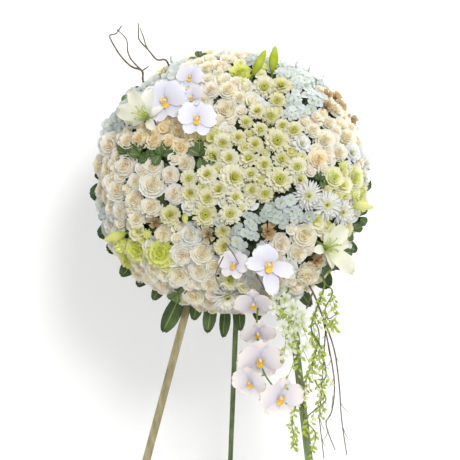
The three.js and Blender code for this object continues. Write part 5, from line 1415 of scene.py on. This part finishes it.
FINISHES = {
    "front_leg_left": (tan_lath, "tan_wood"), "front_leg_right": (olive_lath, "olive_wood"),
    "rear_leg": (rear_lath, "olive_wood"), "header_rail": (rail_lath, "tan_wood"),
    "lower_rail": (rail_lath, "tan_wood"), "hinge_cheek_left": (tan_lath, "tan_wood"),
    "hinge_cheek_right": (tan_lath, "tan_wood"), "floral_foam": (foam_green, "floral_foam"),
    "backing_board": (hardboard, "backing_board")}
for name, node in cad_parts.items():
    if node.hide_render:
        continue
    material, finish = FINISHES.get(name, (zinc, "zinc_steel"))
    node.data.materials.clear()
    node.data.materials.append(material)

for master in masters:
    bpy.data.objects.remove(master)


# ---- Floor, light and camera ----


BACKDROP_Y = 0.40


def pale_stage():
    """A pale floor that runs up into a pale backdrop."""
    clear_selection()
    bpy.ops.mesh.primitive_plane_add(size=16, location=(0, 0, 0))
    floor = bpy.context.object
    floor.name = "floor"
    clear_selection()
    bpy.ops.mesh.primitive_plane_add(size=16, location=(0, BACKDROP_Y, 4),
                                     rotation=(math.pi / 2, 0, 0))
    wall = bpy.context.object
    wall.name = "backdrop"
    for sheet in (floor, wall):
        paint, shader = new_material(f"pale paper of the {sheet.name}", 0.9)
        shader.inputs["Base Color"].default_value = colour(0xfcfcfc)
        sheet.data.materials.append(paint)
    # The backdrop is seen through from behind
    back = add_node(paint, "ShaderNodeNewGeometry").outputs["Backfacing"]
    blend_shaders(paint, back, shader, add_node(paint, "ShaderNodeBsdfTransparent"))


def soft_light(name, place, size, power, aim):
    bpy.ops.object.light_add(type="AREA", location=place)
    lamp = bpy.context.object
    lamp.name = name
    lamp.data.shape = "DISK"
    lamp.data.size = size
    lamp.data.energy = power
    lamp.rotation_euler = (Vector(aim) - Vector(place)).to_track_quat("-Z", "Y").to_euler()
    return lamp


pale_stage()
soft_light("key light", (0.8, -2.7, 2.2), 1.0, 58, (0, -0.1, 1.0))
soft_light("fill light", (-2.4, -2.4, 1.4), 2.2, 8, (0, -0.1, 0.9))
soft_light("backdrop light", (0.4, 0.2, 2.7), 1.4, 30, (0, BACKDROP_Y, 1.2))
world = bpy.data.worlds.new("soft studio")
world.use_nodes = True
world.node_tree.nodes["Background"].inputs["Color"].default_value = (1, 1, 1, 1)
world.node_tree.nodes["Background"].inputs["Strength"].default_value = 0.5
bpy.context.scene.world = world
bpy.context.scene.view_settings.view_transform = "Standard"

bpy.ops.object.camera_add(
    location=(EYE_X + SIDE_SHIFT, FACE_Y - EYE_AWAY, EYE_HEIGHT), rotation=(math.pi / 2, 0, 0))
camera = bpy.context.object
camera.data.lens = 85
camera.data.sensor_width = 36
bpy.context.scene.camera = camera
